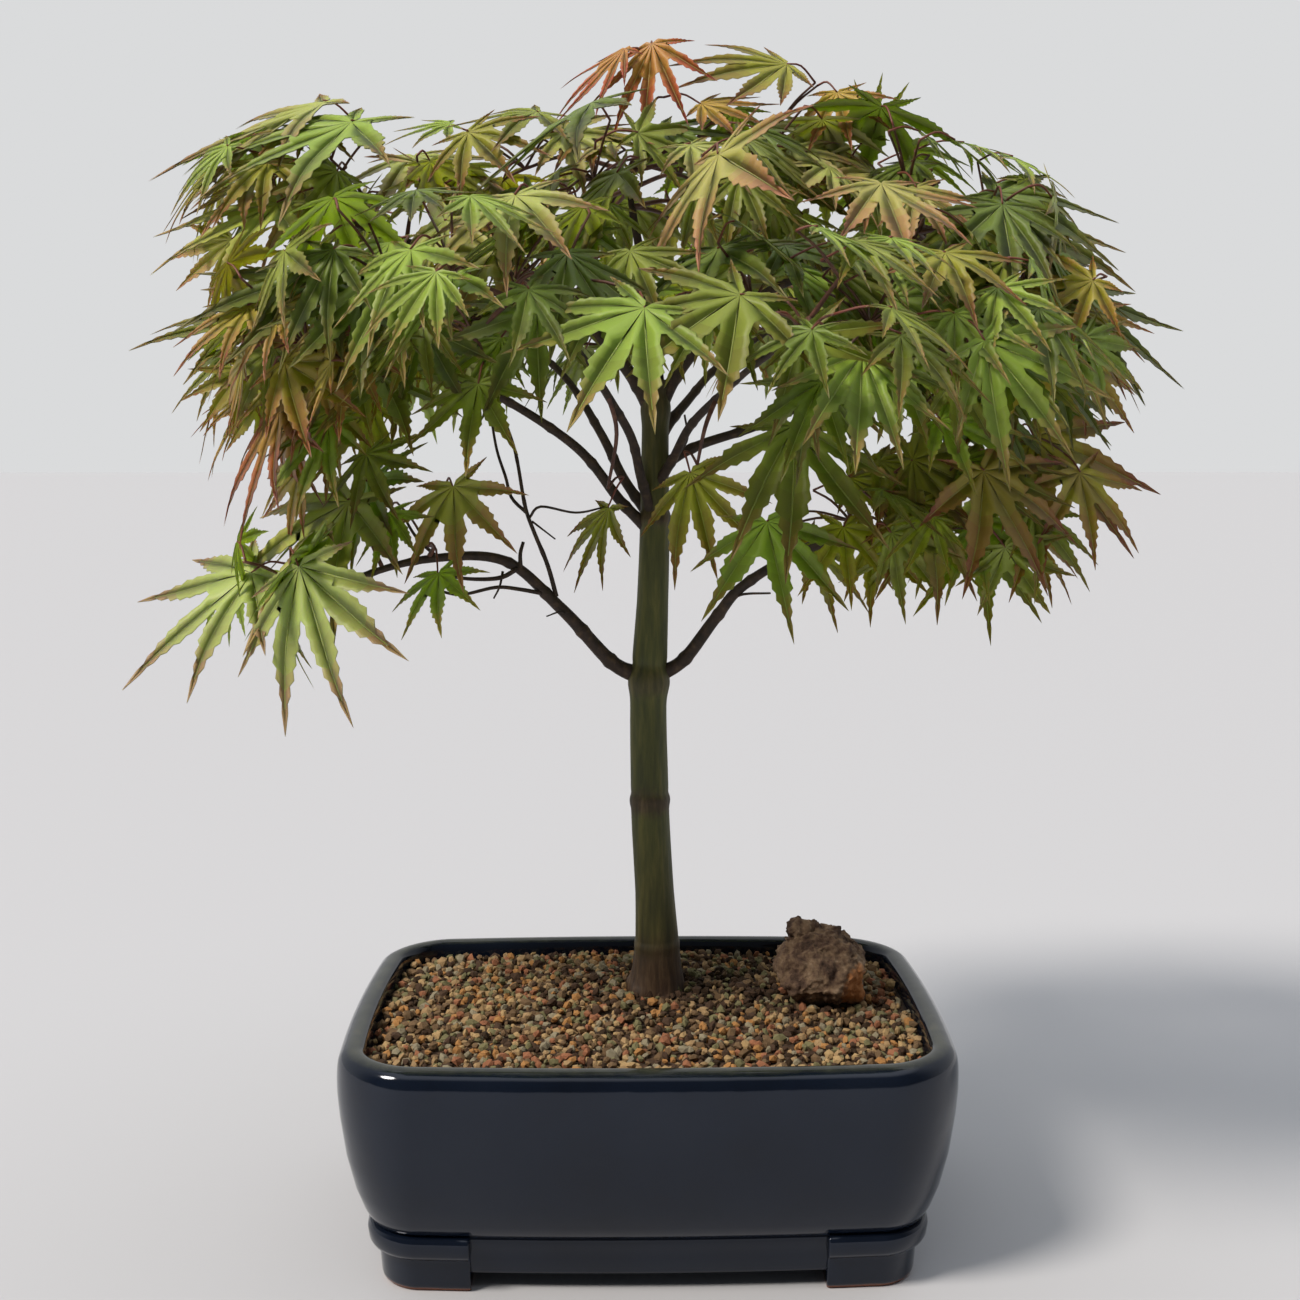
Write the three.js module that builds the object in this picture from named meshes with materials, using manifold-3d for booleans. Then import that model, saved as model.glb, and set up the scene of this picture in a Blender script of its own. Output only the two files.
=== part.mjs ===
// Potted Japanese maple, trained as a small bonsai, in a glazed rectangular ceramic pot.
// Units are millimetres. The origin is the centre of the pot's footprint, on the surface it stands on,
// with +X along the pot's length, +Y along its width, towards the back, and +Z up.

import * as THREE from 'three';
import { mergeVertices } from 'three/addons/utils/BufferGeometryUtils.js';
import Module from 'manifold-3d';

const wasm = await Module();
wasm.setup();

// ---------------------------------------------------------------- driving dimensions

const gap = 0.3; // clearance kept between touching pieces

const pot = {
  rimHalfLength: 99,
  rimHalfWidth: 69.8,
  rimCorner: 24, // corner radius seen from above
  endBow: 3.5, // how far the short sides bow out at their middle
  sideBow: 4, // the same for the long sides
  height: 78.3,
  rimWidth: 8.5, // thickness of the wall at its top
  floorTop: 15,
  plinthBottom: 6, // underside of the base between the feet
  footHalfLength: 86.5,
  footHalfWidth: 60,
  footReach: [29, 26], // how far a foot runs from its corner along X and along Y
};

// Outer wall, from the underside of the base up to the rim: [height, inset from the rim's outline].
const wallProfile = [
  [pot.plinthBottom, 13.4],
  [12, 12.6],
  [18, 10.2],
  [20.5, 9.0],
  [25, 7.1],
  [32, 4.6],
  [43, 2.1],
  [56, 0.4],
  [66, -0.1],
  [72, 0.1],
  [75.2, 0.9],
  [77, 2.3],
  [pot.height, 4.8],
];

// Corner feet, which stand a little proud of the base: [height, inset from the rim's outline].
const footProfile = [
  [0, 13.6],
  [1.2, 12.5],
  [10.8, 11.6],
  [12.4, 9.4],
  [18.6, 8.2],
  [20.4, 9.4],
];

const soil = {
  wallHeight: 73.1, // height of the granules along the wall
  moundHeight: 77, // height of the flat patch that the trunk stands on
  patchRadius: 16,
};

const trunk = {
  top: 293,
  // [height, X, Y, radius] along the stem, with a swelling at each old node
  stations: [
    [soil.moundHeight + gap, 3.4, 13.6, 10.8],
    [81, 3.6, 13.4, 9.8],
    [88, 3.8, 13, 8.8],
    [98, 3.7, 12.6, 7.8],
    [113, 2.8, 12.2, 7],
    [142, 1.4, 12, 6.8],
    [146, 1.3, 12, 7.2],
    [150, 1.2, 12, 6.7],
    [178, 0.8, 12, 6.4],
    [188, 0.9, 12, 7.4],
    [196, 1.3, 12, 6.2],
    [217, 2.3, 12, 5.5],
    [242, 3, 12, 5.1],
    [246, 3, 12, 5.7],
    [251, 3, 12, 5.1],
    [275, 3.2, 12, 4.7],
    [293, 3.6, 12, 5.1],
  ],
  sides: 12,
  flareRidges: 5,
};

const limbSides = 8;
const stone = { x: 64.2, y: 12, z: 83.6, radii: [17.6, 15, 15.2] };

// ---------------------------------------------------------------- solids and meshes

function toSolid(geometry) {
  const bare = geometry.clone();
  bare.deleteAttribute('normal');
  bare.deleteAttribute('uv');
  const merged = mergeVertices(bare, 1e-4);
  return new wasm.Manifold(new wasm.Mesh({
    numProp: 3,
    vertProperties: Float32Array.from(merged.attributes.position.array),
    triVerts: Uint32Array.from(merged.index.array),
  }));
}

function toGeometry(solid) {
  const mesh = solid.getMesh();
  const geometry = new THREE.BufferGeometry();
  geometry.setAttribute('position', new THREE.BufferAttribute(Float32Array.from(mesh.vertProperties), 3));
  geometry.setIndex(Array.from(mesh.triVerts));
  geometry.computeVertexNormals();
  return geometry;
}

// The largest piece of a solid that a cut may have parted.
function largestPiece(solid) {
  const pieces = solid.decompose();
  return pieces.reduce((best, piece) => (piece.volume() > best.volume() ? piece : best));
}

// A closed body through rings of points, all with the same count and turning anticlockwise from above.
function loft(rings) {
  const count = rings[0].length;
  const vertices = rings.flat();
  const triangles = [];
  for (let row = 0; row < rings.length - 1; row += 1) {
    for (let i = 0; i < count; i += 1) {
      const a = row * count + i;
      const b = row * count + ((i + 1) % count);
      triangles.push(a, b, b + count, a, b + count, a + count);
    }
  }
  const addCap = (ring, first, flip) => {
    const middle = ring.reduce((sum, point) => sum.add(point), new THREE.Vector3()).divideScalar(count);
    const centre = vertices.push(middle) - 1;
    for (let i = 0; i < count; i += 1) {
      const a = first + i;
      const b = first + ((i + 1) % count);
      triangles.push(...(flip ? [centre, b, a] : [centre, a, b]));
    }
  };
  addCap(rings[0], 0, true);
  addCap(rings[rings.length - 1], (rings.length - 1) * count, false);
  const geometry = new THREE.BufferGeometry();
  geometry.setAttribute('position', new THREE.Float32BufferAttribute(vertices.flatMap((v) => [v.x, v.y, v.z]), 3));
  geometry.setIndex(triangles);
  geometry.computeVertexNormals();
  return toSolid(geometry);
}

// A seeded wavy value between about -1 and 1, smooth over directions.
function waviness(direction, seed) {
  const { x, y, z } = direction;
  return (
    0.45 * Math.sin(3.1 * x + 2.3 * y + seed * 1.7) +
    0.35 * Math.sin(4.7 * y - 3.9 * z + seed * 2.9) +
    0.3 * Math.sin(5.3 * z + 4.1 * x - seed * 0.8)
  );
}

// An uneven rounded body. Tips are points that its outline draws out to.
function unevenBody({ centre, radii, tips = [], lump = 0.14, seed = 1, detail = 3, droop = 0 }, grow = 0) {
  const middle = new THREE.Vector3(...centre);
  const geometry = new THREE.IcosahedronGeometry(1, detail);
  const position = geometry.attributes.position;
  const direction = new THREE.Vector3();
  for (let i = 0; i < position.count; i += 1) {
    direction.fromBufferAttribute(position, i).normalize();
    const oval = 1 / Math.hypot(direction.x / radii[0], direction.y / radii[1], direction.z / radii[2]);
    let reach = oval * (1 + lump * waviness(direction, seed));
    for (const tip of tips) {
      const toTip = new THREE.Vector3(...tip).sub(middle);
      const distance = toTip.length();
      const closeness = Math.exp(14 * (direction.dot(toTip.normalize()) - 1));
      reach += closeness * (distance - reach);
    }
    reach += grow;
    const sag = droop * (direction.x ** 2 + direction.y ** 2);
    position.setXYZ(
      i,
      middle.x + direction.x * reach,
      middle.y + direction.y * reach,
      middle.z + direction.z * reach - sag,
    );
  }
  return toSolid(geometry);
}

// A round limb along a smooth curve through points, tapering from its first radius to its last.
function limb(points, startRadius, endRadius, steps, grow = 0) {
  const curve = new THREE.CatmullRomCurve3(points.map((p) => new THREE.Vector3(...p)));
  const frames = curve.computeFrenetFrames(steps, false);
  const rings = [];
  for (let step = 0; step <= steps; step += 1) {
    const along = step / steps;
    const radius = startRadius + (endRadius - startRadius) * along + grow;
    const centre = curve.getPointAt(along);
    const ring = [];
    for (let i = 0; i < limbSides; i += 1) {
      const angle = (2 * Math.PI * i) / limbSides;
      ring.push(
        centre.clone()
          .addScaledVector(frames.normals[step], radius * Math.cos(angle))
          .addScaledVector(frames.binormals[step], radius * Math.sin(angle)),
      );
    }
    rings.push(ring);
  }
  return loft(rings);
}

// ---------------------------------------------------------------- pot

// A rounded rectangle with bowed sides, level at height z and set in from the rim's outline.
function potRing(z, inset, cornerSteps = 5, sideSteps = 3) {
  const halfLength = pot.rimHalfLength - inset;
  const halfWidth = pot.rimHalfWidth - inset;
  const corner = Math.max(pot.rimCorner - inset, 8);
  const ring = [];
  for (let quarter = 0; quarter < 4; quarter += 1) {
    const signX = quarter === 0 || quarter === 3 ? 1 : -1;
    const signY = quarter < 2 ? 1 : -1;
    const cornerPoint = (angle) => [
      signX * (halfLength - corner) + corner * Math.cos(angle),
      signY * (halfWidth - corner) + corner * Math.sin(angle),
    ];
    const start = (quarter * Math.PI) / 2;
    for (let step = 0; step <= cornerSteps; step += 1) {
      ring.push(cornerPoint(start + (step * Math.PI) / 2 / cornerSteps));
    }
    const from = ring[ring.length - 1];
    const nextX = quarter === 0 || quarter === 1 ? -1 : 1;
    const nextY = quarter === 1 || quarter === 2 ? -1 : 1;
    const nextAngle = ((quarter + 1) * Math.PI) / 2;
    const to = [
      nextX * (halfLength - corner) + corner * Math.cos(nextAngle),
      nextY * (halfWidth - corner) + corner * Math.sin(nextAngle),
    ];
    for (let step = 1; step < sideSteps; step += 1) {
      const t = step / sideSteps;
      ring.push([from[0] + (to[0] - from[0]) * t, from[1] + (to[1] - from[1]) * t]);
    }
  }
  return ring.map(([x, y]) => new THREE.Vector3(
    x * (1 + (pot.endBow / pot.rimHalfLength) * (1 - (y / halfWidth) ** 2)),
    y * (1 + (pot.sideBow / pot.rimHalfWidth) * (1 - (x / halfLength) ** 2)),
    z,
  ));
}

// The inside wall leans in slightly towards the floor.
const innerInset = (z) => pot.rimWidth + (5.5 * (pot.height - z)) / (pot.height - pot.floorTop);

function boxSolid(low, high) {
  const size = high.map((value, i) => value - low[i]);
  const geometry = new THREE.BoxGeometry(...size);
  geometry.translate(...low.map((value, i) => value + size[i] / 2));
  return toSolid(geometry);
}

function makePot() {
  const wall = loft(wallProfile.map(([z, inset]) => potRing(z, inset)));
  const skirt = loft(footProfile.map(([z, inset]) => potRing(z, inset)));
  const innerX = pot.footHalfLength - pot.footReach[0];
  const innerY = pot.footHalfWidth - pot.footReach[1];
  let body = wall;
  for (const sideX of [-1, 1]) {
    for (const sideY of [-1, 1]) {
      const xs = [sideX * innerX, sideX * 120].sort((a, b) => a - b);
      const ys = [sideY * innerY, sideY * 90].sort((a, b) => a - b);
      body = body.add(skirt.intersect(boxSolid([xs[0], ys[0], -1], [xs[1], ys[1], 30])));
    }
  }
  const cavityTop = pot.height + 2;
  const cavity = loft([
    potRing(pot.floorTop, innerInset(pot.floorTop)),
    potRing(cavityTop, innerInset(cavityTop)),
  ]);
  return body.subtract(cavity);
}

// ---------------------------------------------------------------- soil

// Height of the granules: level along the wall, rising to a flat patch at the foot of the trunk.
function soilHeight(x, y) {
  const [, trunkX, trunkY] = trunk.stations[0];
  const distance = Math.max(0, Math.hypot(x - trunkX, y - trunkY) - soil.patchRadius);
  const rise = (soil.moundHeight - soil.wallHeight) * Math.exp(-((distance / 34) ** 2));
  const roll = distance > 0 ? 0.35 * Math.sin(x / 9) * Math.sin(y / 8 + 1) * Math.min(1, distance / 20) : 0;
  return Math.min(soil.wallHeight + rise + roll, soil.moundHeight);
}

function makeSoil() {
  const [, trunkX, trunkY] = trunk.stations[0];
  const wallRing = (z) => potRing(z, innerInset(z) + gap);
  const rings = [wallRing(pot.floorTop + gap), wallRing(soil.wallHeight)];
  for (const share of [0.93, 0.78, 0.62, 0.46, 0.32, 0.2]) {
    rings.push(wallRing(soil.wallHeight).map((point) => {
      const x = trunkX + (point.x - trunkX) * share;
      const y = trunkY + (point.y - trunkY) * share;
      return new THREE.Vector3(x, y, soilHeight(x, y));
    }));
  }
  return loft(rings);
}

// ---------------------------------------------------------------- stone

const stoneShape = {
  centre: [stone.x, stone.y, stone.z],
  radii: stone.radii,
  lump: 0.17,
  seed: 5,
  detail: 2,
};

// ---------------------------------------------------------------- trunk

// The stem, with root ridges that fade out above the soil.
function makeTrunk(grow = 0) {
  const [[foot]] = trunk.stations;
  const rings = trunk.stations.map(([z, x, y, radius]) => {
    const ridge = 0.13 * Math.exp(-(z - foot) / 5);
    const ring = [];
    for (let i = 0; i < trunk.sides; i += 1) {
      const angle = (2 * Math.PI * i) / trunk.sides;
      const reach = radius * (1 + ridge * Math.cos(trunk.flareRidges * angle + 0.6)) + grow;
      ring.push(new THREE.Vector3(x + reach * Math.cos(angle), y + reach * Math.sin(angle), z));
    }
    return ring;
  });
  rings[0].forEach((point) => point.setZ(foot - grow));
  rings[rings.length - 1].forEach((point) => point.setZ(trunk.top + grow));
  return loft(rings);
}

// ---------------------------------------------------------------- boughs

// Each bough runs from inside the stem, through the points given, and tapers between its two radii.
const boughs = {
  bough_low_left: {
    points: [[1, 12, 189.5], [-12, 11, 195.5], [-29, 7, 214.5], [-49, 2, 231.5], [-75, -6, 233], [-100, -10, 226]],
    radii: [2.9, 1.3],
  },
  bough_low_left_upright: {
    points: [[-31.7, 6.4, 221.8], [-34, 5, 232], [-40, 5, 248], [-46, 6, 270], [-55, 6, 285]],
    radii: [1.1, 0.8],
  },
  bough_low_right: {
    points: [[1, 12, 189.5], [13, 11, 196], [24, 7, 211.5], [33, 3, 222.5], [55, -4, 236], [85, -8, 246]],
    radii: [2.6, 1.3],
  },
  bough_left_outer: {
    points: [[3, 12, 240], [-8, 10, 251], [-26, 6, 271.5], [-60, 0, 292], [-100, -2, 302]],
    radii: [2.6, 1.3],
  },
  bough_left_inner: {
    points: [[3, 13, 244], [-7, 18, 258], [-16, 26, 276], [-34, 52, 300], [-62, 84, 318]],
    radii: [2.4, 1.2],
  },
  bough_front_left: {
    points: [[3, 11, 245], [-2, 4, 260], [-7, -8, 277], [-22, -38, 300], [-42, -72, 314]],
    radii: [2.4, 1.2],
  },
  bough_right_outer: {
    points: [[3, 12, 262], [17, 11, 270], [39, 7, 278], [66, 2, 290], [104, 2, 302]],
    radii: [2.3, 1.2],
  },
  bough_front_right: {
    points: [[3, 11, 256], [9, 4, 266], [16, -8, 279], [29, -38, 292], [44, -72, 304]],
    radii: [2.1, 1.1],
  },
  bough_back_right: {
    points: [[3, 13, 270], [12, 24, 283], [28, 50, 300], [55, 80, 318]],
    radii: [2.3, 1.2],
  },
  bough_back: {
    points: [[3, 13, 278], [1, 30, 290], [0, 64, 300], [2, 104, 306]],
    radii: [2.1, 1.1],
  },
  bough_top_left: {
    points: [[3, 12, 282], [-12, 11, 303], [-42, 9, 326], [-92, 8, 342]],
    radii: [2.6, 1.2],
  },
  bough_top_right: {
    points: [[4, 12, 284], [18, 12, 304], [44, 11, 324], [92, 10, 342]],
    radii: [2.5, 1.2],
  },
};

const boughSteps = 7;

// ---------------------------------------------------------------- foliage

// Masses of leaves: the crown is an umbrella of pads round the stem, with two lower pads left and right.
const masses = {
  leaves_crest: {
    centre: [6, 8, 386], radii: [34, 26, 12], detail: 2, seed: 3,
    tips: [[-8, 10, 407], [-34, 6, 380], [54, 8, 391]],
  },
  leaves_top: {
    centre: [4, 10, 349], radii: [78, 62, 30], seed: 8, droop: 7,
    tips: [[-56, 4, 374], [66, 6, 376]],
  },
  leaves_upper_left: {
    centre: [-108, 8, 350], radii: [46, 58, 27], seed: 11, droop: 3,
    tips: [[-163.5, 0, 363], [-118, 12, 380], [-164, -12, 336]],
  },
  leaves_upper_right: {
    centre: [106, 14, 345], radii: [42, 58, 29], seed: 14, droop: 4,
    tips: [[92, 10, 378], [150, 12, 336], [70, 0, 376]],
  },
  leaves_mid_left: {
    centre: [-116, 2, 289], radii: [41, 48, 30], seed: 17, droop: 3,
    tips: [[-163, -6, 312], [-138, -10, 241], [-150, 14, 284]],
  },
  leaves_mid_right: {
    centre: [126, 4, 298], radii: [44, 50, 32], seed: 20, droop: 3,
    tips: [[184, 4, 293], [172, -8, 322]],
  },
  leaves_low_left: {
    centre: [-110, -12, 222], radii: [44, 40, 22], seed: 23, droop: 3,
    tips: [[-182, -10, 194], [-106, -24, 174], [-62, -10, 213], [-78, -14, 258]],
  },
  leaves_low_right: {
    centre: [102, -12, 243], radii: [55, 42, 22], seed: 26, droop: 3,
    tips: [[168, -6, 231], [140, -14, 221], [49, -20, 212]],
  },
  leaves_front_left: {
    centre: [-54, -78, 316], radii: [52, 50, 31], seed: 29, droop: 4,
    tips: [[-36, -152, 300], [-20, -96, 278]],
  },
  leaves_front_right: {
    centre: [52, -80, 304], radii: [50, 48, 33], seed: 32, droop: 4,
    tips: [[36, -104, 250], [66, -149, 292]],
  },
  leaves_left_front: {
    centre: [-108, -60, 300], radii: [36, 34, 27], detail: 2, seed: 35, droop: 3,
    tips: [[-134, -88, 280]],
  },
  leaves_right_front: {
    centre: [112, -60, 300], radii: [36, 34, 28], detail: 2, seed: 38, droop: 3,
    tips: [[136, -92, 282]],
  },
  leaves_left_back: {
    centre: [-98, 78, 308], radii: [42, 40, 32], detail: 2, seed: 41, droop: 3,
    tips: [[-142, 104, 292]],
  },
  leaves_right_back: {
    centre: [104, 80, 306], radii: [44, 40, 32], detail: 2, seed: 44, droop: 3,
    tips: [[150, 102, 290]],
  },
  leaves_back_left: {
    centre: [-46, 102, 320], radii: [46, 40, 32], detail: 2, seed: 47, droop: 4,
    tips: [[-44, 151, 292]],
  },
  leaves_back_right: {
    centre: [50, 102, 322], radii: [46, 40, 32], detail: 2, seed: 50, droop: 4,
    tips: [[52, 150, 294]],
  },
};

const leafColours = [0x5d7a34, 0x4f6f3a, 0x6c8a3e, 0x587a46];

// ---------------------------------------------------------------- assembly

const materials = {
  glaze: { color: 0x2a2f3a, roughness: 0.18, metalness: 0 },
  soil: { color: 0x8a6e4b, roughness: 0.95, metalness: 0 },
  stone: { color: 0x6b4636, roughness: 0.92, metalness: 0 },
  trunk: { color: 0x5f6a33, roughness: 0.8, metalness: 0 },
  bough: { color: 0x4a3a2c, roughness: 0.8, metalness: 0 },
  crest: { color: 0xa8663a, roughness: 0.6, metalness: 0 },
};

const group = new THREE.Group();

function place(name, solid, finish) {
  const mesh = new THREE.Mesh(toGeometry(solid), new THREE.MeshStandardMaterial(finish));
  mesh.name = name;
  group.add(mesh);
}

const soilSolid = makeSoil().subtract(unevenBody(stoneShape, gap));
place('pot', makePot(), materials.glaze);
place('soil', largestPiece(soilSolid), materials.soil);
place('lava_stone', unevenBody(stoneShape), materials.stone);
place('trunk', makeTrunk(), materials.trunk);

// The masses are cut round the stem, and each by those before it.
const cutMargin = 1;
const trunkRoom = makeTrunk(gap + 0.1);
const massRooms = [];
Object.entries(masses).forEach(([name, shape], index) => {
  let solid = unevenBody(shape).subtract(trunkRoom);
  for (const room of massRooms) {
    solid = solid.subtract(room);
  }
  massRooms.push(unevenBody(shape, cutMargin));
  const colour = { color: leafColours[index % leafColours.length], roughness: 0.6, metalness: 0 };
  place(name, largestPiece(solid), name === 'leaves_crest' ? materials.crest : colour);
});

// A bough starts at the stem, or at the bough that carries it, and ends where it enters a mass.
const boughRooms = [];
for (const [name, { points, radii }] of Object.entries(boughs)) {
  let solid = limb(points, radii[0], radii[1], boughSteps).subtract(trunkRoom);
  for (const room of [...massRooms, ...boughRooms]) {
    solid = solid.subtract(room);
  }
  boughRooms.push(limb(points, radii[0], radii[1], boughSteps, gap + 0.1));
  place(name, largestPiece(solid), materials.bough);
}

export default group;
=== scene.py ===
import math
import random

import bmesh
import bpy
import numpy as np
from mathutils import Matrix, Vector
from mathutils.bvhtree import BVHTree


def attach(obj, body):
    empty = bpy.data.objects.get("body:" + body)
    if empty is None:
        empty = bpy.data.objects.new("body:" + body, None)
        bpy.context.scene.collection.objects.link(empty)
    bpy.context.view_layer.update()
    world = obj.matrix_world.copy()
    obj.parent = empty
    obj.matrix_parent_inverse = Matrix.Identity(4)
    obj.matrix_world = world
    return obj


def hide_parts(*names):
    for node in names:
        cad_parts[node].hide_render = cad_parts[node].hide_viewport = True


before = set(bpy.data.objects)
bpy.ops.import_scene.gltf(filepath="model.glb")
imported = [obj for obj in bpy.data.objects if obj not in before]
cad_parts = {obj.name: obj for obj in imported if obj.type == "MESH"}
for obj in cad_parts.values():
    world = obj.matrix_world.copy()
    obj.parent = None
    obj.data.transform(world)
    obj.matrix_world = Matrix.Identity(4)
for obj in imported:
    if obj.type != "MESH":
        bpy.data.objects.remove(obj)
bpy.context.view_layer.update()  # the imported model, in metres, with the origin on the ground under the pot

mm = 0.001
up = Vector((0, 0, 1))
print("frame loaded:", len(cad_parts), "nodes")


# camera, half a metre in front of the pot and a little above its rim

cameraSetup = {
    "place": (-7.67, -553.48, 273.69),  # mm
    "lookDown": 7.47,  # degrees
    "turnRight": 0.92,  # degrees
    "lens": 45.09,  # mm
    "sensor": 36,
    "nearest": 20,  # mm, the closest that it sees
}


def addCamera(setup):
    bpy.ops.object.camera_add(
        location=[value * mm for value in setup["place"]],
        rotation=(math.radians(90 - setup["lookDown"]), 0, math.radians(-setup["turnRight"])),
    )
    camera = bpy.context.object
    camera.data.sensor_width = setup["sensor"]
    camera.data.lens = setup["lens"]
    camera.data.clip_start = setup["nearest"] * mm
    bpy.context.scene.camera = camera


addCamera(cameraSetup)
print("camera placed")


# small helpers for meshes

def deselectAll():
    if bpy.context.mode != "OBJECT":
        bpy.ops.object.mode_set(mode="OBJECT")
    bpy.ops.object.select_all(action="DESELECT")


def pick(piece):
    deselectAll()
    piece.select_set(True)
    bpy.context.view_layer.objects.active = piece


def applyModifier(piece, kind, **settings):
    pick(piece)
    modifier = piece.modifiers.new(kind.title(), kind)
    for key, value in settings.items():
        setattr(modifier, key, value)
    bpy.ops.object.modifier_apply(modifier=modifier.name)


def smoothByAngle(piece, degrees):
    pick(piece)
    bpy.ops.object.shade_smooth_by_angle(angle=math.radians(degrees))


def meshFromArrays(name, points, faces, slots=None, materials=(), smooth=True):
    # points in metres, faces as an array of triangles or quads, slots as one number for each face
    mesh = bpy.data.meshes.new(name)
    corners = faces.shape[1]
    mesh.vertices.add(len(points))
    mesh.vertices.foreach_set("co", np.asarray(points, np.float32).ravel())
    mesh.loops.add(len(faces) * corners)
    mesh.loops.foreach_set("vertex_index", np.asarray(faces, np.int32).ravel())
    mesh.polygons.add(len(faces))
    mesh.polygons.foreach_set("loop_start", np.arange(0, len(faces) * corners, corners, dtype=np.int32))
    for material in materials:
        mesh.materials.append(material)
    if slots is not None:
        mesh.polygons.foreach_set("material_index", np.asarray(slots, np.int32))
    mesh.update(calc_edges=True)
    mesh.polygons.foreach_set("use_smooth", np.full(len(faces), smooth))
    piece = bpy.data.objects.new(name, mesh)
    bpy.context.collection.objects.link(piece)
    return piece


class MeshHeap:
    # gathers many small closed shapes, in mm, to be joined as one piece

    def __init__(self):
        self.points, self.faces, self.slots, self.count = [], [], [], 0

    def add(self, points, faces, slots=0):
        self.points.append(points)
        self.faces.append(faces + self.count)
        self.slots.append(np.broadcast_to(slots, len(faces)))
        self.count += len(points)

    def make(self, name, materials, smooth=True):
        return meshFromArrays(
            name, np.concatenate(self.points) * mm, np.concatenate(self.faces),
            np.concatenate(self.slots), materials, smooth,
        )


# small helpers for materials

def linear(hexColour):
    channels = [int(hexColour[i:i + 2], 16) / 255 for i in (1, 3, 5)]
    return [c / 12.92 if c <= 0.04045 else ((c + 0.055) / 1.055) ** 2.4 for c in channels] + [1.0]


def setInputs(tree, node, inputs):
    # each socket is given a value, another node's output, or a node for its first output in use
    for key, value in inputs.items():
        if isinstance(value, bpy.types.Node):
            value = next(output for output in value.outputs if output.enabled)
        if isinstance(value, bpy.types.NodeSocket):
            tree.links.new(value, node.inputs[key])
        else:
            node.inputs[key].default_value = value


def addNode(tree, kind, inputs, stops=(), **settings):
    # stops are a colour ramp's places and colours, each colour a hex value or a grey from 0 to 1
    node = tree.nodes.new(kind)
    for key, value in settings.items():
        setattr(node, key, value)
    setInputs(tree, node, inputs)
    if stops:
        ramp = node.color_ramp.elements
        while len(ramp) < len(stops):
            ramp.new(0.5)
        for element, (place, colour) in zip(ramp, stops):
            element.position = place
            element.color = linear(colour) if isinstance(colour, str) else (colour, colour, colour, 1)
    return node


def newMaterial(name, values):
    # patterns follow the Object coordinates, and a noise's scale is one over its widest blotches' width
    material = bpy.data.materials.new(name)
    material.use_nodes = True
    tree = material.node_tree
    shader = tree.nodes["Principled BSDF"]
    setInputs(tree, shader, values)
    coords = addNode(tree, "ShaderNodeTexCoord", {}).outputs["Object"]
    return material, tree, shader, coords


def grainyMaterial(name, values, width, detail, depth, roughness=0.55, strength=1.0, stops=()):
    # a surface with one fine grain: its width and depth in mm, and its colours if it has more than one
    material, tree, shader, coords = newMaterial(name, values)
    grain = addNode(tree, "ShaderNodeTexNoise", {
        "Vector": coords, "Scale": 1 / (width * mm), "Detail": detail, "Roughness": roughness})
    bump = addNode(tree, "ShaderNodeBump", {"Height": grain, "Distance": depth * mm, "Strength": strength})
    setInputs(tree, shader, {"Normal": bump})
    if stops:
        setInputs(tree, shader, {"Base Color": addNode(tree, "ShaderNodeValToRGB", {"Fac": grain}, stops)})
    return material


# pot: stoneware with a dark glossy glaze, on four corner feet

potShape = {
    "rimHalfLength": 99.0,  # mm, at the corners, before the bow
    "rimHalfWidth": 69.8,
    "corner": 24.0,
    "endBow": 3.5,
    "sideBow": 4.0,
    "steps": 26,  # points round one corner
    # height and inset from the rim's outline, from the underside up the wall, over the rim and down inside
    "wall": [
        (6.6, 16.0), (6.0, 14.8), (6.2, 13.9), (7.2, 13.4), (12.0, 12.7), (15.4, 12.0), (17.4, 11.3),
        (18.6, 11.2), (19.3, 11.5), (19.9, 11.1), (20.5, 9.9), (21.6, 8.9), (25.0, 7.2), (32.0, 4.7),
        (43.0, 2.2), (56.0, 0.5), (64.0, -0.1), (69.0, -0.1), (72.0, 0.1), (74.0, 0.4), (75.5, 0.9),
        (76.6, 1.6), (77.4, 2.5), (77.95, 3.6), (78.25, 4.8), (78.3, 5.9), (78.2, 6.9), (77.8, 7.8),
        (77.0, 8.4), (75.5, 8.8), (70.0, 9.2), (60.0, 10.0), (40.0, 11.7), (22.0, 13.2),
        (17.0, 14.0), (15.4, 15.6), (15.0, 18.0),
    ],
    "innerWall": ((78.3, 8.5), (15.0, 14.0)),  # its height and inset at the top and at the foot
    "foot": [
        (0.0, 14.6), (0.15, 13.5), (1.0, 12.7), (2.4, 12.3), (9.6, 11.8), (11.2, 11.5), (12.0, 10.6),
        (12.8, 9.3), (14.2, 8.6), (17.4, 8.2), (18.8, 8.4), (19.7, 9.0), (20.3, 10.4),
    ],
    "footReach": (29.0, 26.0),  # mm, from the foot's corner along the length and the width
    "footCorner": (86.5, 60.0),
    "footPast": 20.0,  # how far a foot's block runs past its corner, to be cut to the outline
    "footEdge": 0.7,  # bevel
    "bareBelow": 0.9,  # height under which the feet have no glaze
    "drainHole": 8.0,  # radius, mm
    "drainPlaces": (-44.0, 44.0),
}


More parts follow.
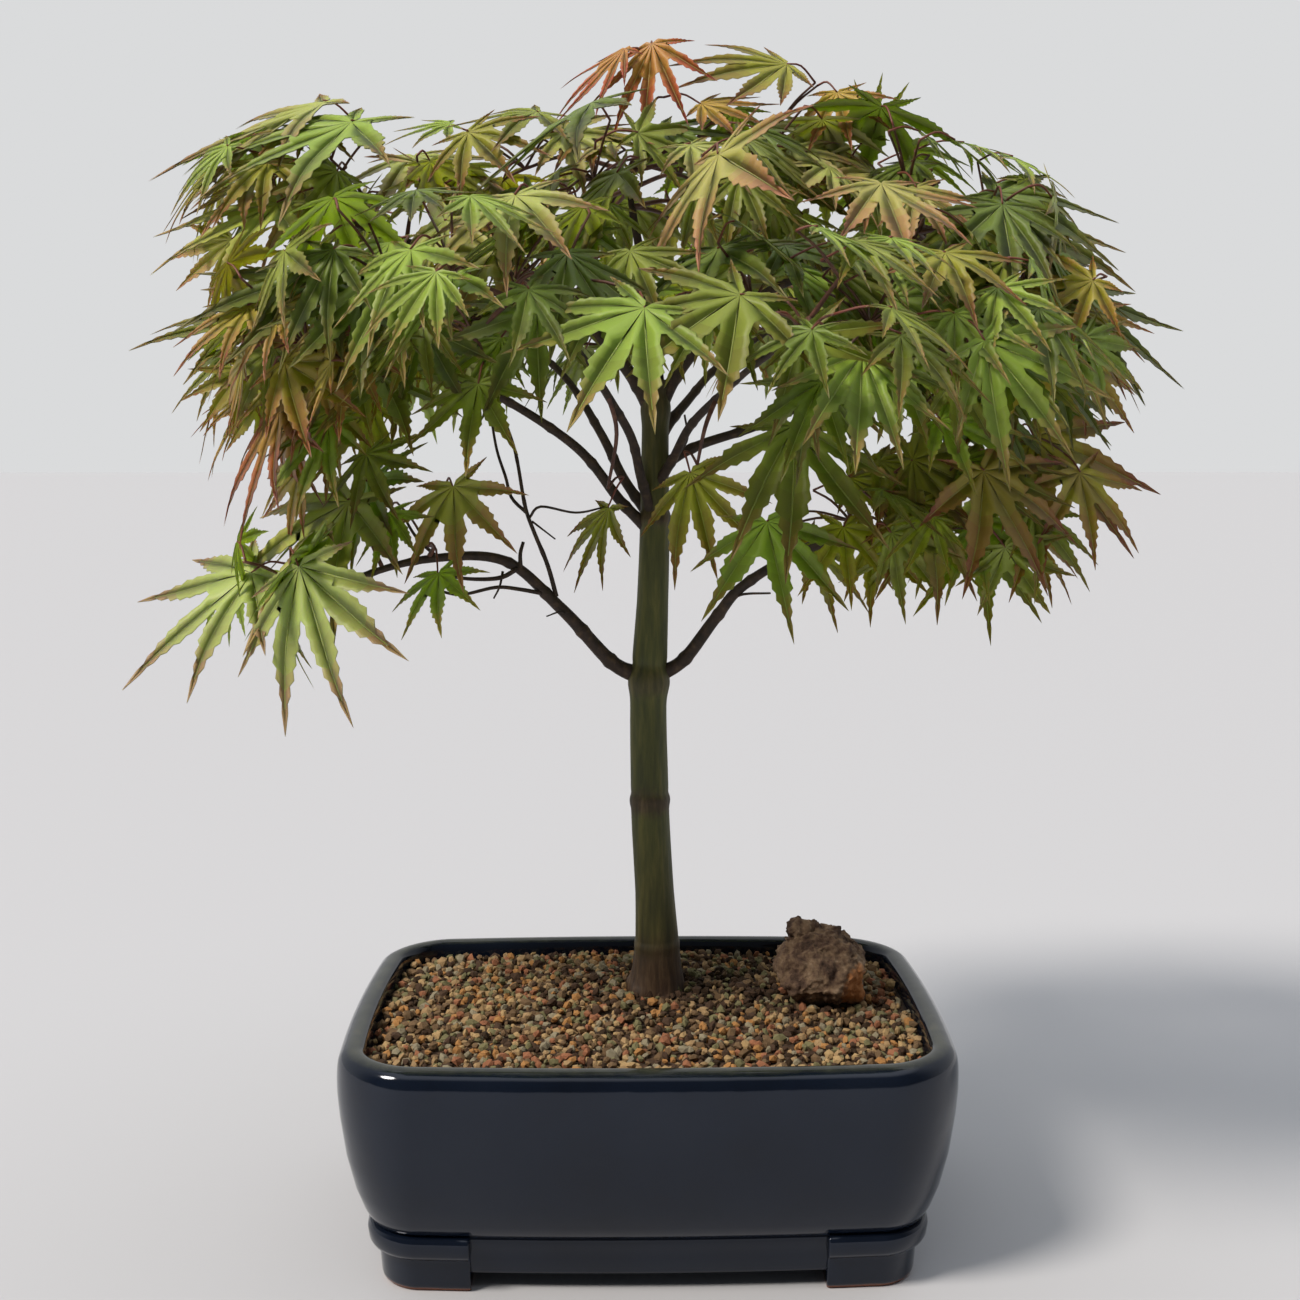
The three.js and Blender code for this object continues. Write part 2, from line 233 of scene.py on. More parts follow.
def potOutline(inset, steps):
    # a rounded rectangle with bowed sides, in mm, anticlockwise from above
    halfLength = potShape["rimHalfLength"] - inset
    halfWidth = potShape["rimHalfWidth"] - inset
    corner = max(potShape["corner"] - inset, 8.0)
    quarters = ((1, 1), (-1, 1), (-1, -1), (1, -1))
    points = []
    for quarter, (signX, signY) in enumerate(quarters):
        for step in range(steps):
            angle = (quarter + step / (steps - 1)) * math.pi / 2
            x = signX * (halfLength - corner) + corner * math.cos(angle)
            y = signY * (halfWidth - corner) + corner * math.sin(angle)
            points.append((x, y))
        nextX, nextY = quarters[(quarter + 1) % 4]
        angle = (quarter + 1) * math.pi / 2
        endX = nextX * (halfLength - corner) + corner * math.cos(angle)
        endY = nextY * (halfWidth - corner) + corner * math.sin(angle)
        startX, startY = points[-1]
        for step in range(1, 12):  # the straight side
            share = step / 12
            points.append((startX + (endX - startX) * share, startY + (endY - startY) * share))
    bowX = potShape["endBow"] / potShape["rimHalfLength"]
    bowY = potShape["sideBow"] / potShape["rimHalfWidth"]
    return [
        (x * (1 + bowX * (1 - (y / halfWidth) ** 2)), y * (1 + bowY * (1 - (x / halfLength) ** 2)))
        for x, y in points
    ]


def extrudeOutline(name, profile, steps):
    # a ring on the first outline, extruded and set row by row, and closed at both ends
    outline = potOutline(profile[0][1], steps)
    deselectAll()
    bpy.ops.mesh.primitive_circle_add(vertices=len(outline), radius=1)
    piece = bpy.context.object
    piece.name = name
    for vertex, (x, y) in zip(piece.data.vertices, outline):
        vertex.co = (x * mm, y * mm, profile[0][0] * mm)
    bpy.ops.object.mode_set(mode="EDIT")
    bpy.ops.mesh.select_all(action="SELECT")
    bpy.ops.mesh.edge_face_add()
    bpy.ops.mesh.select_all(action="SELECT")
    for z, inset in profile[1:]:
        bpy.ops.mesh.extrude_region_move()
        ring = bmesh.from_edit_mesh(piece.data)
        ring.verts.ensure_lookup_table()
        moved = [vertex for vertex in ring.verts if vertex.select]
        for vertex, (x, y) in zip(moved, potOutline(inset, steps)):
            vertex.co = (x * mm, y * mm, z * mm)
        bmesh.update_edit_mesh(piece.data)
    bpy.ops.mesh.select_all(action="SELECT")
    bpy.ops.mesh.normals_make_consistent(inside=False)
    bpy.ops.object.mode_set(mode="OBJECT")
    return piece


def cutWith(piece, cutter, operation):
    applyModifier(piece, "BOOLEAN", object=cutter, operation=operation, solver="EXACT")
    bpy.data.objects.remove(cutter)


def glazeMaterial():
    # iron glaze fired glossy: near-black navy, softly clouded, thin and greenish grey along the rim, that
    # grey lightened also as painted reflection of the pale wall
    material, tree, shader, coords = newMaterial(
        "darkGlossGlaze", {"Roughness": 0.1, "IOR": 1.52, "Specular Tint": linear("#e4eaf7")})
    pooling = addNode(tree, "ShaderNodeTexNoise", {
        "Vector": coords, "Scale": 1 / (38 * mm), "Detail": 3, "Roughness": 0.55})
    clouds = addNode(tree, "ShaderNodeValToRGB", {"Fac": pooling}, [
        (0.32, "#080e1a"), (0.55, "#0c1422"), (0.75, "#121926")])
    wander = addNode(tree, "ShaderNodeTexNoise", {
        "Vector": coords, "Scale": 1 / (9 * mm), "Detail": 3, "Roughness": 0.55})
    height = addNode(tree, "ShaderNodeSeparateXYZ", {"Vector": coords}).outputs["Z"]
    lifted = addNode(tree, "ShaderNodeMath", {0: wander, 1: 0.9 * mm, 2: height}, operation="MULTIPLY_ADD")
    # it runs thin along the top of the rim, and pools elsewhere; the rim's colour is partly painted
    # reflection
    rimBreakAndSheen = addNode(tree, "ShaderNodeMapRange", {
        "Value": lifted, "From Min": 77.8 * mm, "From Max": 78.9 * mm})
    mottle = addNode(tree, "ShaderNodeTexNoise", {
        "Vector": coords, "Scale": 1 / (5 * mm), "Detail": 5, "Roughness": 0.55})
    # the rim's greenish grey: thin glaze, lightened as painted reflection of the pale wall
    thin = addNode(tree, "ShaderNodeValToRGB", {"Fac": mottle}, [
        (0.3, "#2b2e27"), (0.6, "#3c3f35"), (0.8, "#4a473a")])
    glaze = addNode(tree, "ShaderNodeMix", {"Factor": rimBreakAndSheen, "A": clouds, "B": thin}, data_type="RGBA")
    # it stops short of the ground and leaves the feet's rims bare
    bare = addNode(tree, "ShaderNodeMapRange", {
        "Value": lifted, "From Min": 1.5 * mm, "From Max": 2.1 * mm, "To Min": 1.0, "To Max": 0.0})
    whole = addNode(tree, "ShaderNodeMix", {
        "Factor": bare, "A": glaze, "B": linear("#6f4230")}, data_type="RGBA")
    waves = addNode(tree, "ShaderNodeTexNoise", {  # slow waves of poured glaze
        "Vector": coords, "Scale": 1 / (16 * mm), "Detail": 2, "Roughness": 0.55})
    bump = addNode(tree, "ShaderNodeBump", {"Height": waves, "Distance": 0.35 * mm, "Strength": 0.5})
    setInputs(tree, shader, {"Base Color": whole, "Normal": bump})
    return material


def bareClayMaterial():
    # unglazed stoneware under the feet: rough reddish brown
    return grainyMaterial(
        "bareStoneware", {"Roughness": 0.85}, width=1.2, detail=6, depth=0.15,
        stops=[(0.3, "#6b3d2a"), (0.7, "#8a563d")],
    )


def footBlock(signX, signY):
    # the space that one corner foot fills: its inner faces are flat, and it runs past the outline outside
    place, size = [], []
    for sign, corner, reach in zip((signX, signY), potShape["footCorner"], potShape["footReach"]):
        place.append(sign * (corner + (potShape["footPast"] - reach) / 2) * mm)
        size.append((reach + potShape["footPast"]) * mm)
    bpy.ops.mesh.primitive_cube_add(size=1, location=(*place, 12 * mm), scale=(*size, 30 * mm))
    bpy.ops.object.transform_apply(location=True, rotation=True, scale=True)
    return bpy.context.object


def joinTo(piece, others):
    deselectAll()
    for other in others:
        other.select_set(True)
    piece.select_set(True)
    bpy.context.view_layer.objects.active = piece
    bpy.ops.object.join()


def makePot():
    pot = extrudeOutline("pot_glazed", potShape["wall"], potShape["steps"])
    for x in potShape["drainPlaces"]:
        deselectAll()
        bpy.ops.mesh.primitive_cylinder_add(
            vertices=48, radius=potShape["drainHole"] * mm, depth=30 * mm, location=(x * mm, 0, 10 * mm),
        )
        cutWith(pot, bpy.context.object, "DIFFERENCE")
    feet = extrudeOutline("pot_feet", potShape["foot"], potShape["steps"])
    deselectAll()
    blocks = [footBlock(signX, signY) for signX in (-1, 1) for signY in (-1, 1)]
    joinTo(blocks[0], blocks[1:])
    cutWith(feet, blocks[0], "INTERSECT")
    applyModifier(
        feet, "BEVEL", width=potShape["footEdge"] * mm, segments=3, limit_method="ANGLE",
        angle_limit=math.radians(50),
    )
    finishes = glazeMaterial(), bareClayMaterial()
    for piece in (pot, feet):
        piece.data.materials.clear()
        for finish in finishes:
            piece.data.materials.append(finish)
    for face in feet.data.polygons:
        if face.center.z < potShape["bareBelow"] * mm:
            face.material_index = 1
    joinTo(pot, [feet])
    smoothByAngle(pot, 32)
    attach(pot, "root")
    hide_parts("pot")


makePot()
print("pot made")


# soil: fired-clay and lava granules, level along the wall and mounded to the trunk

soilShape = {
    "wallHeight": 73.1,  # mm
    "moundHeight": 77.0,
    "moundSpread": 34.0,
    "patchRadius": 16.0,
    "ripple": 0.35,
    "outlineHeight": 73.0,
    "edgeInset": 0.9,  # from the pot's wall to the outermost grains
    "bedInset": 0.2,
    "bedDepth": 1.9,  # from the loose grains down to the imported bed
    "bedFoot": 40.0,  # height
    "trunkFoot": (3.4, 13.6),
    "trunkClear": 8.0,
    "stoneSeat": (64.2, 12.0, 11.0),  # place and radius kept clear for the stone
    "layers": ((2.1, 0.55), (0.55, 1.0)),  # how deep each layer lies, and its share of the grains
    "field": (210.0, 150.0),  # the rows of grains, before the pot's outline trims them
    "shake": 0.42,  # how far a grain strays from its place, in steps
    "lift": (-1.3, 0.7),
    "grainSpacing": 2.85,
    "grainRadius": (0.9, 2.5, 1.55),  # least, most and usual
    "kinds": 10,
    "seed": 4,
}

# low-fired clay, pumice and lava, dry: matt, each grain its own earth tone, with its share of the mix
grainColours = {
    "Tan": ("#a08663", 2.6), "Sand": ("#aa9068", 1.4), "Ochre": ("#a67a4b", 1.3), "Clay": ("#94644a", 1.3),
    "Umber": ("#6f5a43", 2.6), "Moss": ("#747051", 2.0), "Lava": ("#4a392d", 1.8), "Ash": ("#8d8570", 1.5),
    "Darkest": ("#35281c", 0.5),
}

# painted shadow: darker grains are dealt round the foot of the trunk, towards the back, where the trunk
# casts its shade
paintedShadowPatch = {
    "middle": (20.0, 18.0),  # mm
    "reach": (32.0, 21.0),
    "drawn": {"Umber": 2, "Lava": 5, "Moss": 2, "Darkest": 16},
    "others": -0.85,  # the other tones are fewer there
}


def soilOutline(inset, steps):
    # where the soil meets the pot's inner wall, set in by some mm
    (top, topInset), (foot, footInset) = potShape["innerWall"]
    wall = topInset + (footInset - topInset) * (top - soilShape["outlineHeight"]) / (top - foot)
    return potOutline(wall + inset, steps)


def soilHeight(x, y):
    trunkX, trunkY = soilShape["trunkFoot"]
    distance = max(0.0, math.hypot(x - trunkX, y - trunkY) - soilShape["patchRadius"])
    share = math.exp(-((distance / soilShape["moundSpread"]) ** 2))
    rise = (soilShape["moundHeight"] - soilShape["wallHeight"]) * share
    return soilShape["wallHeight"] + rise + soilShape["ripple"] * math.sin(x / 9) * math.sin(y / 8 + 1)


def insideOutline(x, y, outline):
    inside = False
    for (x1, y1), (x2, y2) in zip(outline, outline[1:] + outline[:1]):
        if (y1 > y) != (y2 > y) and x < x1 + (y - y1) / (y2 - y1) * (x2 - x1):
            inside = not inside
    return inside


def grainMaterials():
    # their pores are drawn coarse enough to show
    return [
        grainyMaterial(
            "granule" + name,
            {"Base Color": linear(colour), "Roughness": 0.93, "Specular IOR Level": 0.25},
            width=0.7, detail=4, depth=0.25,
        )
        for name, (colour, _) in grainColours.items()
    ]


def bedMaterial():
    # the same clay, crushed and packed: darker, rough and crumbly
    return grainyMaterial(
        "packedClayBed", {"Roughness": 0.95}, width=2.5, detail=5, depth=0.8,
        stops=[(0.3, "#2b2018"), (0.7, "#5a4330")],
    )


def grainKind(rng):
    # a chipped pebble from an icosphere of twenty faces
    deselectAll()
    bpy.ops.mesh.primitive_ico_sphere_add(subdivisions=1, radius=1)
    pebble = bpy.context.object
    points = np.array([vertex.co[:] for vertex in pebble.data.vertices])
    faces = np.array([face.vertices[:] for face in pebble.data.polygons])
    bpy.data.objects.remove(pebble)
    points *= np.array([[rng.uniform(0.7, 1.15)] for _ in points])
    points *= np.array([rng.uniform(0.85, 1.2), rng.uniform(0.8, 1.1), rng.uniform(0.65, 0.9)])
    return points, faces


def randomTurn(rng):
    turn = rng.uniform(0, 2 * math.pi)
    axis = Vector([rng.uniform(-1, 1) for _ in range(3)]).normalized()
    return np.array(Matrix.Rotation(turn, 3, axis))


def isFree(x, y, outline, layer):
    # the trunk stands in both layers, and the stone presses the upper one away
    seatX, seatY, seatRadius = soilShape["stoneSeat"]
    trunkX, trunkY = soilShape["trunkFoot"]
    if layer and math.hypot(x - seatX, y - seatY) < seatRadius:
        return False
    return insideOutline(x, y, outline) and math.hypot(x - trunkX, y - trunkY) >= soilShape["trunkClear"]


def dealTone(x, y, rng):
    (middleX, middleY), (reachX, reachY) = paintedShadowPatch["middle"], paintedShadowPatch["reach"]
    # how deep in the painted shadow a grain lies
    shadowed = math.exp(-(((x - middleX) / reachX) ** 2 + ((y - middleY) / reachY) ** 2))
    weights = [
        share * (1 + paintedShadowPatch["drawn"].get(name, paintedShadowPatch["others"]) * shadowed)
        for name, (_, share) in grainColours.items()
    ]
    return rng.choices(range(len(weights)), weights)[0]


def makeGranules():
    rng = random.Random(soilShape["seed"])
    kinds = [grainKind(rng) for _ in range(soilShape["kinds"])]
    outline = soilOutline(soilShape["edgeInset"], 10)
    length, width = soilShape["field"]
    shake = soilShape["shake"]
    heap = MeshHeap()
    for layer, (sink, share) in enumerate(soilShape["layers"]):
        step = soilShape["grainSpacing"] / math.sqrt(share)
        for row in range(int(width / step)):
            for column in range(int(length / step)):
                x = (column + 0.5 * (row % 2) + rng.uniform(-shake, shake)) * step - length / 2
                y = (row + rng.uniform(-shake, shake)) * step - width / 2
                size = rng.triangular(*soilShape["grainRadius"])
                points, faces = kinds[int(rng.random() * 997) % len(kinds)]
                turn = randomTurn(rng)
                z = soilHeight(x, y) - sink + rng.uniform(*soilShape["lift"])
                if isFree(x, y, outline, layer):
                    heap.add(points @ turn.T * size + np.array([x, y, z]), faces, dealTone(x, y, rng))
    grains = heap.make("soil_granules", grainMaterials(), smooth=False)
    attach(grains, "root")


def makeBed():
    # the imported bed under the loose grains
    trunkX, trunkY = soilShape["trunkFoot"]
    outline = soilOutline(soilShape["bedInset"], 8)
    rings = [
        [(trunkX + (x - trunkX) * share, trunkY + (y - trunkY) * share) for x, y in outline]
        for share in (1.0, 0.9, 0.75, 0.6, 0.45, 0.3, 0.15)
    ]
    points = [(x, y, soilShape["bedFoot"]) for x, y in outline]
    for ring in rings:
        points += [(x, y, soilHeight(x, y) - soilShape["bedDepth"]) for x, y in ring]
    faces = []
    for start in range(0, len(rings) * len(outline), len(outline)):
        for i in range(len(outline)):
            a, b = start + i, start + (i + 1) % len(outline)
            faces.append((a, b, b + len(outline), a + len(outline)))
    bed = meshFromArrays("soil_bed", np.array(points) * mm, np.array(faces), materials=[bedMaterial()])
    pick(bed)
    bpy.ops.object.mode_set(mode="EDIT")
    bpy.ops.mesh.select_all(action="SELECT")
    bpy.ops.mesh.fill_holes(sides=0)
    bpy.ops.mesh.normals_make_consistent(inside=False)
    bpy.ops.object.mode_set(mode="OBJECT")
    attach(bed, "root")
    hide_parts("soil")


makeGranules()
makeBed()
print("soil made")


# stone: a lump of red-brown lava resting in the soil

stoneShape = {
    "place": (64.4, 12.0, 84.0),  # mm
    "radii": (16.2, 14.0, 14.2),
    "turn": (0.2, 0.35, 0.9),  # radians
    "knobPlace": (57.5, 13.5, 95.5),  # a smaller lump on its top
    "knobRadius": 4.6,
    # the broad facets, the lumps and the pores: texture, width and depth in mm, and what stays level
    "relief": (("VORONOI", 17, 9.0, 0.45), ("CLOUDS", 6, 5.0, 0.5), ("CLOUDS", 2.2, 3.0, 0.6)),
    "stainPlace": (74.5, 0.0, 81.5),  # the iron-stained face, low on the front right
}


def lavaMaterial():
    # porous lava: matt, blotched from dark umber to buff, with one iron-stained orange face
    material, tree, shader, coords = newMaterial(
        "redBrownLava", {"Roughness": 0.9, "Specular IOR Level": 0.3})
    patches = addNode(tree, "ShaderNodeTexNoise", {
        "Vector": coords, "Scale": 1 / (7 * mm), "Detail": 6, "Roughness": 0.7})
    blotches = addNode(tree, "ShaderNodeValToRGB", {"Fac": patches}, [
        (0.32, "#2b211b"), (0.44, "#564338"), (0.55, "#7a6551"), (0.68, "#9b8670")])
    centred = addNode(tree, "ShaderNodeMapping", {
        "Vector": coords, "Location": [-value * mm for value in stoneShape["stainPlace"]]})
    distance = addNode(tree, "ShaderNodeVectorMath", {0: centred}, operation="LENGTH")
    fraying = addNode(tree, "ShaderNodeTexNoise", {
        "Vector": coords, "Scale": 1 / (4 * mm), "Detail": 4, "Roughness": 0.55})
    ragged = addNode(tree, "ShaderNodeMath", {0: fraying, 1: 9 * mm, 2: distance}, operation="MULTIPLY_ADD")
    stain = addNode(tree, "ShaderNodeMapRange", {
        "Value": ragged, "From Min": 9.5 * mm, "From Max": 12.5 * mm, "To Min": 0.85, "To Max": 0.0})
    colour = addNode(tree, "ShaderNodeMix", {
        "Factor": stain, "A": blotches, "B": linear("#b87a48")}, data_type="RGBA")
    pores = addNode(tree, "ShaderNodeTexNoise", {
        "Vector": coords, "Scale": 1 / (1.1 * mm), "Detail": 5, "Roughness": 0.55})
    bump = addNode(tree, "ShaderNodeBump", {"Height": pores, "Distance": 0.5 * mm})
    setInputs(tree, shader, {"Base Color": colour, "Normal": bump})
    return material


def makeStone():
    deselectAll()
    bpy.ops.mesh.primitive_ico_sphere_add(subdivisions=6, radius=1)
    stone = bpy.context.object
    stone.name = "lava_stone_craggy"
    stone.scale = [radius * mm for radius in stoneShape["radii"]]
    stone.rotation_euler = stoneShape["turn"]
    stone.location = [value * mm for value in stoneShape["place"]]
    bpy.ops.object.transform_apply(location=True, rotation=True, scale=True)
    deselectAll()
    bpy.ops.mesh.primitive_ico_sphere_add(
        subdivisions=5, radius=stoneShape["knobRadius"] * mm,
        location=[value * mm for value in stoneShape["knobPlace"]],
    )
    cutWith(stone, bpy.context.object, "UNION")
    for kind, width, depth, level in stoneShape["relief"]:
        texture = bpy.data.textures.new("lavaRelief", kind)
        texture.noise_scale = width * mm
        if kind == "CLOUDS":
            texture.noise_depth = 3
        applyModifier(
            stone, "DISPLACE", texture=texture, texture_coords="LOCAL", strength=depth * mm, mid_level=level,
        )
        bpy.data.textures.remove(texture)
    stone.data.materials.append(lavaMaterial())
    smoothByAngle(stone, 60)
    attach(stone, "root")
    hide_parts("lava_stone")


makeStone()
print("stone made")


# trunk and boughs

trunkShape = {
    # height, X, Y and radius in mm, from the foot in the soil to the fork
    "stations": [
        (74.6, 3.4, 13.8, 10.9), (77.3, 3.4, 13.6, 10.3), (80.0, 3.6, 13.4, 9.5), (84.0, 3.7, 13.2, 8.8),
        (90.0, 3.8, 12.9, 8.2), (96.0, 3.7, 12.6, 7.7), (104.0, 3.3, 12.4, 7.3), (113.0, 2.8, 12.2, 6.95),
        (127.0, 2.0, 12.1, 6.8), (140.0, 1.4, 12.0, 6.7), (156.0, 1.1, 12.0, 6.6), (178.0, 0.8, 12.0, 6.4),
        (196.0, 1.3, 12.0, 6.2), (217.0, 2.3, 12.0, 5.5), (240.0, 3.0, 12.0, 5.2), (262.0, 3.1, 12.0, 4.8),
        (280.0, 3.3, 12.0, 4.6), (293.0, 3.6, 12.0, 4.4),
    ],
    # old nodes: height, extra radius and height of the ring
    "nodes": [(93.5, 0.25, 1.6), (146.0, 0.5, 2.2), (188.5, 1.1, 4.5), (245.5, 0.6, 2.4), (283.0, 0.7, 4.0)],
    "sides": 56,
    "rings": 420,
    "seed": 12,
    "flareRidges": 5,
    "flareDepth": 0.12,  # of the radius, at the foot
    "flareHeight": 5.5,  # mm
    "ribs": 42,  # long shallow ribs that wander up the stem
    # how brown the bark is at each height, allowing for the wander's mean of 3.5 mm
    "brown": [
        (80, 1.0), (93, 0.9), (104, 0.35), (144, 0.12), (147.5, 0.8), (151, 0.8), (155, 0.15), (186, 0.1),
        (190, 0.5), (195, 0.45), (200, 0.1), (246, 0.15), (249, 0.85), (252, 0.6), (256, 0.2), (282, 0.35),
        (296, 0.8),
    ],
    "brownTop": 330,  # mm, over which those heights are measured
}

# each bough's points in mm from inside the stem, and its radii; its last stretch lies among the leaves
boughShapes = {
    "bough_low_left": (
        [(1, 12, 189.5), (-12, 11, 195.5), (-29, 7, 214.5), (-49, 2, 231.5), (-75, -6, 233),
         (-100, -10, 226)], (2.9, 1.0)),
    "bough_low_left_upright": (
        [(-31, 6, 219), (-34, 5, 230), (-38, 4, 241), (-41, 4, 250), (-45, 6, 269), (-50, 7, 284)],
        (0.85, 0.5)),
    "bough_low_right": (
        [(1, 12, 189.5), (13, 11, 196), (24, 7, 211.5), (33, 3, 222.5), (55, -4, 236), (85, -8, 246)],
        (2.6, 1.0)),
    "bough_left_outer": (
        [(3, 12, 240), (-8, 10, 251), (-26, 6, 271.5), (-60, 0, 292), (-100, -2, 302)], (2.1, 0.9)),
    "bough_left_inner": (
        [(3, 13, 244), (-7, 18, 258), (-16, 26, 276), (-34, 52, 300), (-62, 84, 318)], (2.0, 0.8)),
    "bough_front_left": (
        [(3, 11, 245), (-2, 4, 260), (-7, -8, 277), (-22, -38, 300), (-42, -72, 314)], (1.9, 0.8)),
    "bough_right_outer": (
        [(3, 12, 262), (17, 11, 270), (39, 7, 278), (66, 2, 290), (104, 2, 302)], (1.9, 0.8)),
    "bough_front_right": (
        [(3, 11, 256), (9, 4, 266), (16, -8, 279), (29, -38, 292), (44, -72, 304)], (1.8, 0.8)),
    "bough_back_right": (
        [(3, 13, 270), (12, 24, 283), (28, 50, 300), (55, 80, 318)], (2.0, 0.8)),
    "bough_back": (
        [(3, 13, 278), (1, 30, 290), (0, 64, 300), (2, 104, 306)], (2.1, 0.9)),
    "bough_top_left": (
        [(3, 12, 282), (-12, 11, 303), (-42, 9, 326), (-92, 8, 342)], (2.6, 0.9)),
    "bough_top_right": (
        [(4, 12, 284), (18, 12, 304), (44, 11, 324), (92, 10, 342)], (2.5, 0.9)),
    "leader": ([(3.6, 12, 288), (2, 12, 310), (-2, 11, 335), (-6, 10, 362)], (3.4, 0.8)),
}

boughGrowth = {
    "seed": 31,
    "collar": 0.35,  # how much a bough swells where it leaves the stem
    "scar": 0.16,  # and at each pair of bud scars
    "scarHeight": 1.2,  # mm
    "firstScar": (10, 16),
    "scarSpacing": (14, 20),
    "sway": 0.35,  # mm
    "swayLengths": (9.0, 11.0, 13.0),
    "noCollar": ("bough_low_left_upright", "leader"),
}

# fine twigs that show against the sky under the crown, some of them dead stubs: points in mm, radii
fineTwigs = [
    ([(-40, 4, 246), (-36, 3, 250), (-24, 2, 248), (-14, 0, 250)], (0.5, 0.35)),
    ([(-39, 4, 245), (-35, 3, 242), (-31, 2, 239)], (0.4, 0.25)),
    ([(-41, 4, 248), (-46, 5, 253), (-48, 6, 260), (-51, 8, 269), (-53, 10, 280)], (0.65, 0.45)),
    ([(-44, 2, 229), (-50, 0, 226), (-60, -4, 226), (-70, -8, 228)], (0.9, 0.5)),
    ([(-35, 5, 220), (-43, 0, 222), (-51, -3, 223), (-63, -8, 221), (-72, -14, 224)], (0.8, 0.45)),
    ([(-49, 2, 228), (-50, 0, 223), (-52, -1, 219)], (0.5, 0.3)),
    ([(-43, 3, 229), (-43, 2, 234), (-42, 3, 238)], (0.8, 0.6)),
    ([(-27, 7, 213), (-30, 2, 214), (-34, -2, 213)], (0.4, 0.25)),
    ([(28, 5, 217), (33, 2, 220), (42, -4, 221)], (0.55, 0.35)),
    ([(10, 9, 266), (14, 6, 273), (13, 4, 281)], (0.6, 0.35)),
    ([(46, -1, 231), (52, -9, 238), (58, -16, 240)], (0.7, 0.4)),
    ([(-70, -5, 233), (-78, -1, 240), (-84, 2, 250)], (0.7, 0.4)),
]


def smoothCurve(points, count):
    # a Catmull-Rom curve through the points, evenly stepped
    points = np.asarray(points, float)
    padded = np.vstack([2 * points[0] - points[1], points, 2 * points[-1] - points[-2]])
    dense = []
    for i in range(len(points) - 1):
        a, b, c, d = padded[i:i + 4]
        for t in np.linspace(0, 1, 12, endpoint=False):
            dense.append(0.5 * (2 * b + (c - a) * t + (2 * a - 5 * b + 4 * c - d) * t * t
                                + (3 * b - a - 3 * c + d) * t ** 3))
    dense.append(points[-1])
    dense = np.array(dense)
    walked = np.concatenate([[0], np.cumsum(np.linalg.norm(np.diff(dense, axis=0), axis=1))])
    wanted = np.linspace(0, walked[-1], count)
    return np.stack([np.interp(wanted, walked, dense[:, k]) for k in range(3)], 1)


def tubeArrays(centres, radii, sides, relief=None):
    # a closed tube in mm; relief gives each ring's share of its radius, ring by side
    tangents = np.gradient(centres, axis=0)
    tangents /= np.linalg.norm(tangents, axis=1)[:, None]
    side = np.cross(tangents[0], (0.3, 1.0, 0.1))
    points = []
    angles = np.linspace(0, 2 * math.pi, sides, endpoint=False)
    for i, (centre, tangent) in enumerate(zip(centres, tangents)):
        side = side - tangent * side.dot(tangent)
        side /= np.linalg.norm(side)
        other = np.cross(tangent, side)
        reach = radii[i] * (np.ones(sides) if relief is None else relief[i])
        points.append(centre + reach[:, None] * (
            np.cos(angles)[:, None] * side + np.sin(angles)[:, None] * other))
    points = np.concatenate(points + [centres[:1], centres[-1:]])
    rings = len(centres)
    faces = []
    around = np.arange(sides)
    after = (around + 1) % sides
    for row in range(rings - 1):
        low, high = row * sides, (row + 1) * sides
        faces.append(np.stack([low + around, low + after, high + after], 1))
        faces.append(np.stack([low + around, high + after, high + around], 1))
    start, end, last = rings * sides, rings * sides + 1, (rings - 1) * sides
    faces.append(np.stack([np.full(sides, start), after, around], 1))
    faces.append(np.stack([np.full(sides, end), last + around, last + after], 1))
    return points, np.concatenate(faces)


def trunkMaterial():
    # young maple bark: thin, smooth and olive green, finely streaked, brown at old nodes and at the foot
    material, tree, shader, coords = newMaterial("youngMapleBark", {"Roughness": 0.62})
    drawn = addNode(tree, "ShaderNodeMapping", {"Vector": coords, "Scale": (1, 1, 0.12)})
    streaks = addNode(tree, "ShaderNodeTexNoise", {
        "Vector": drawn, "Scale": 1 / (2.4 * mm), "Detail": 6, "Roughness": 0.6})
    green = addNode(tree, "ShaderNodeValToRGB", {"Fac": streaks}, [
        (0.3, "#3b4118"), (0.5, "#4c511e"), (0.66, "#5f6026"), (0.8, "#757338")])
    brown = addNode(tree, "ShaderNodeValToRGB", {"Fac": streaks}, [
        (0.3, "#291b12"), (0.5, "#453122"), (0.7, "#64503c")])
    fraying = addNode(tree, "ShaderNodeTexNoise", {
        "Vector": coords, "Scale": 1 / (5 * mm), "Detail": 4, "Roughness": 0.55})
    height = addNode(tree, "ShaderNodeSeparateXYZ", {"Vector": coords}).outputs["Z"]
    wander = addNode(tree, "ShaderNodeMath", {0: fraying, 1: 7 * mm, 2: height}, operation="MULTIPLY_ADD")
    top = trunkShape["brownTop"] * mm
    upward = addNode(tree, "ShaderNodeMath", {0: wander, 1: top}, operation="DIVIDE")
    bands = addNode(tree, "ShaderNodeValToRGB", {"Fac": upward}, [
        (z * mm / top, share) for z, share in trunkShape["brown"]])
    colour = addNode(tree, "ShaderNodeMix", {"Factor": bands, "A": green, "B": brown}, data_type="RGBA")
    bump = addNode(tree, "ShaderNodeBump", {"Height": streaks, "Distance": 0.5 * mm})
    setInputs(tree, shader, {"Base Color": colour, "Normal": bump})
    return material


def boughMaterial():
    # bark some years old: dark brown, nearly black, faintly streaked
    return grainyMaterial(
        "darkTwigBark", {"Roughness": 0.7}, width=3, detail=5, depth=0.3, roughness=0.6,
        stops=[(0.3, "#221912"), (0.55, "#3a2b20"), (0.75, "#57442f")],
    )


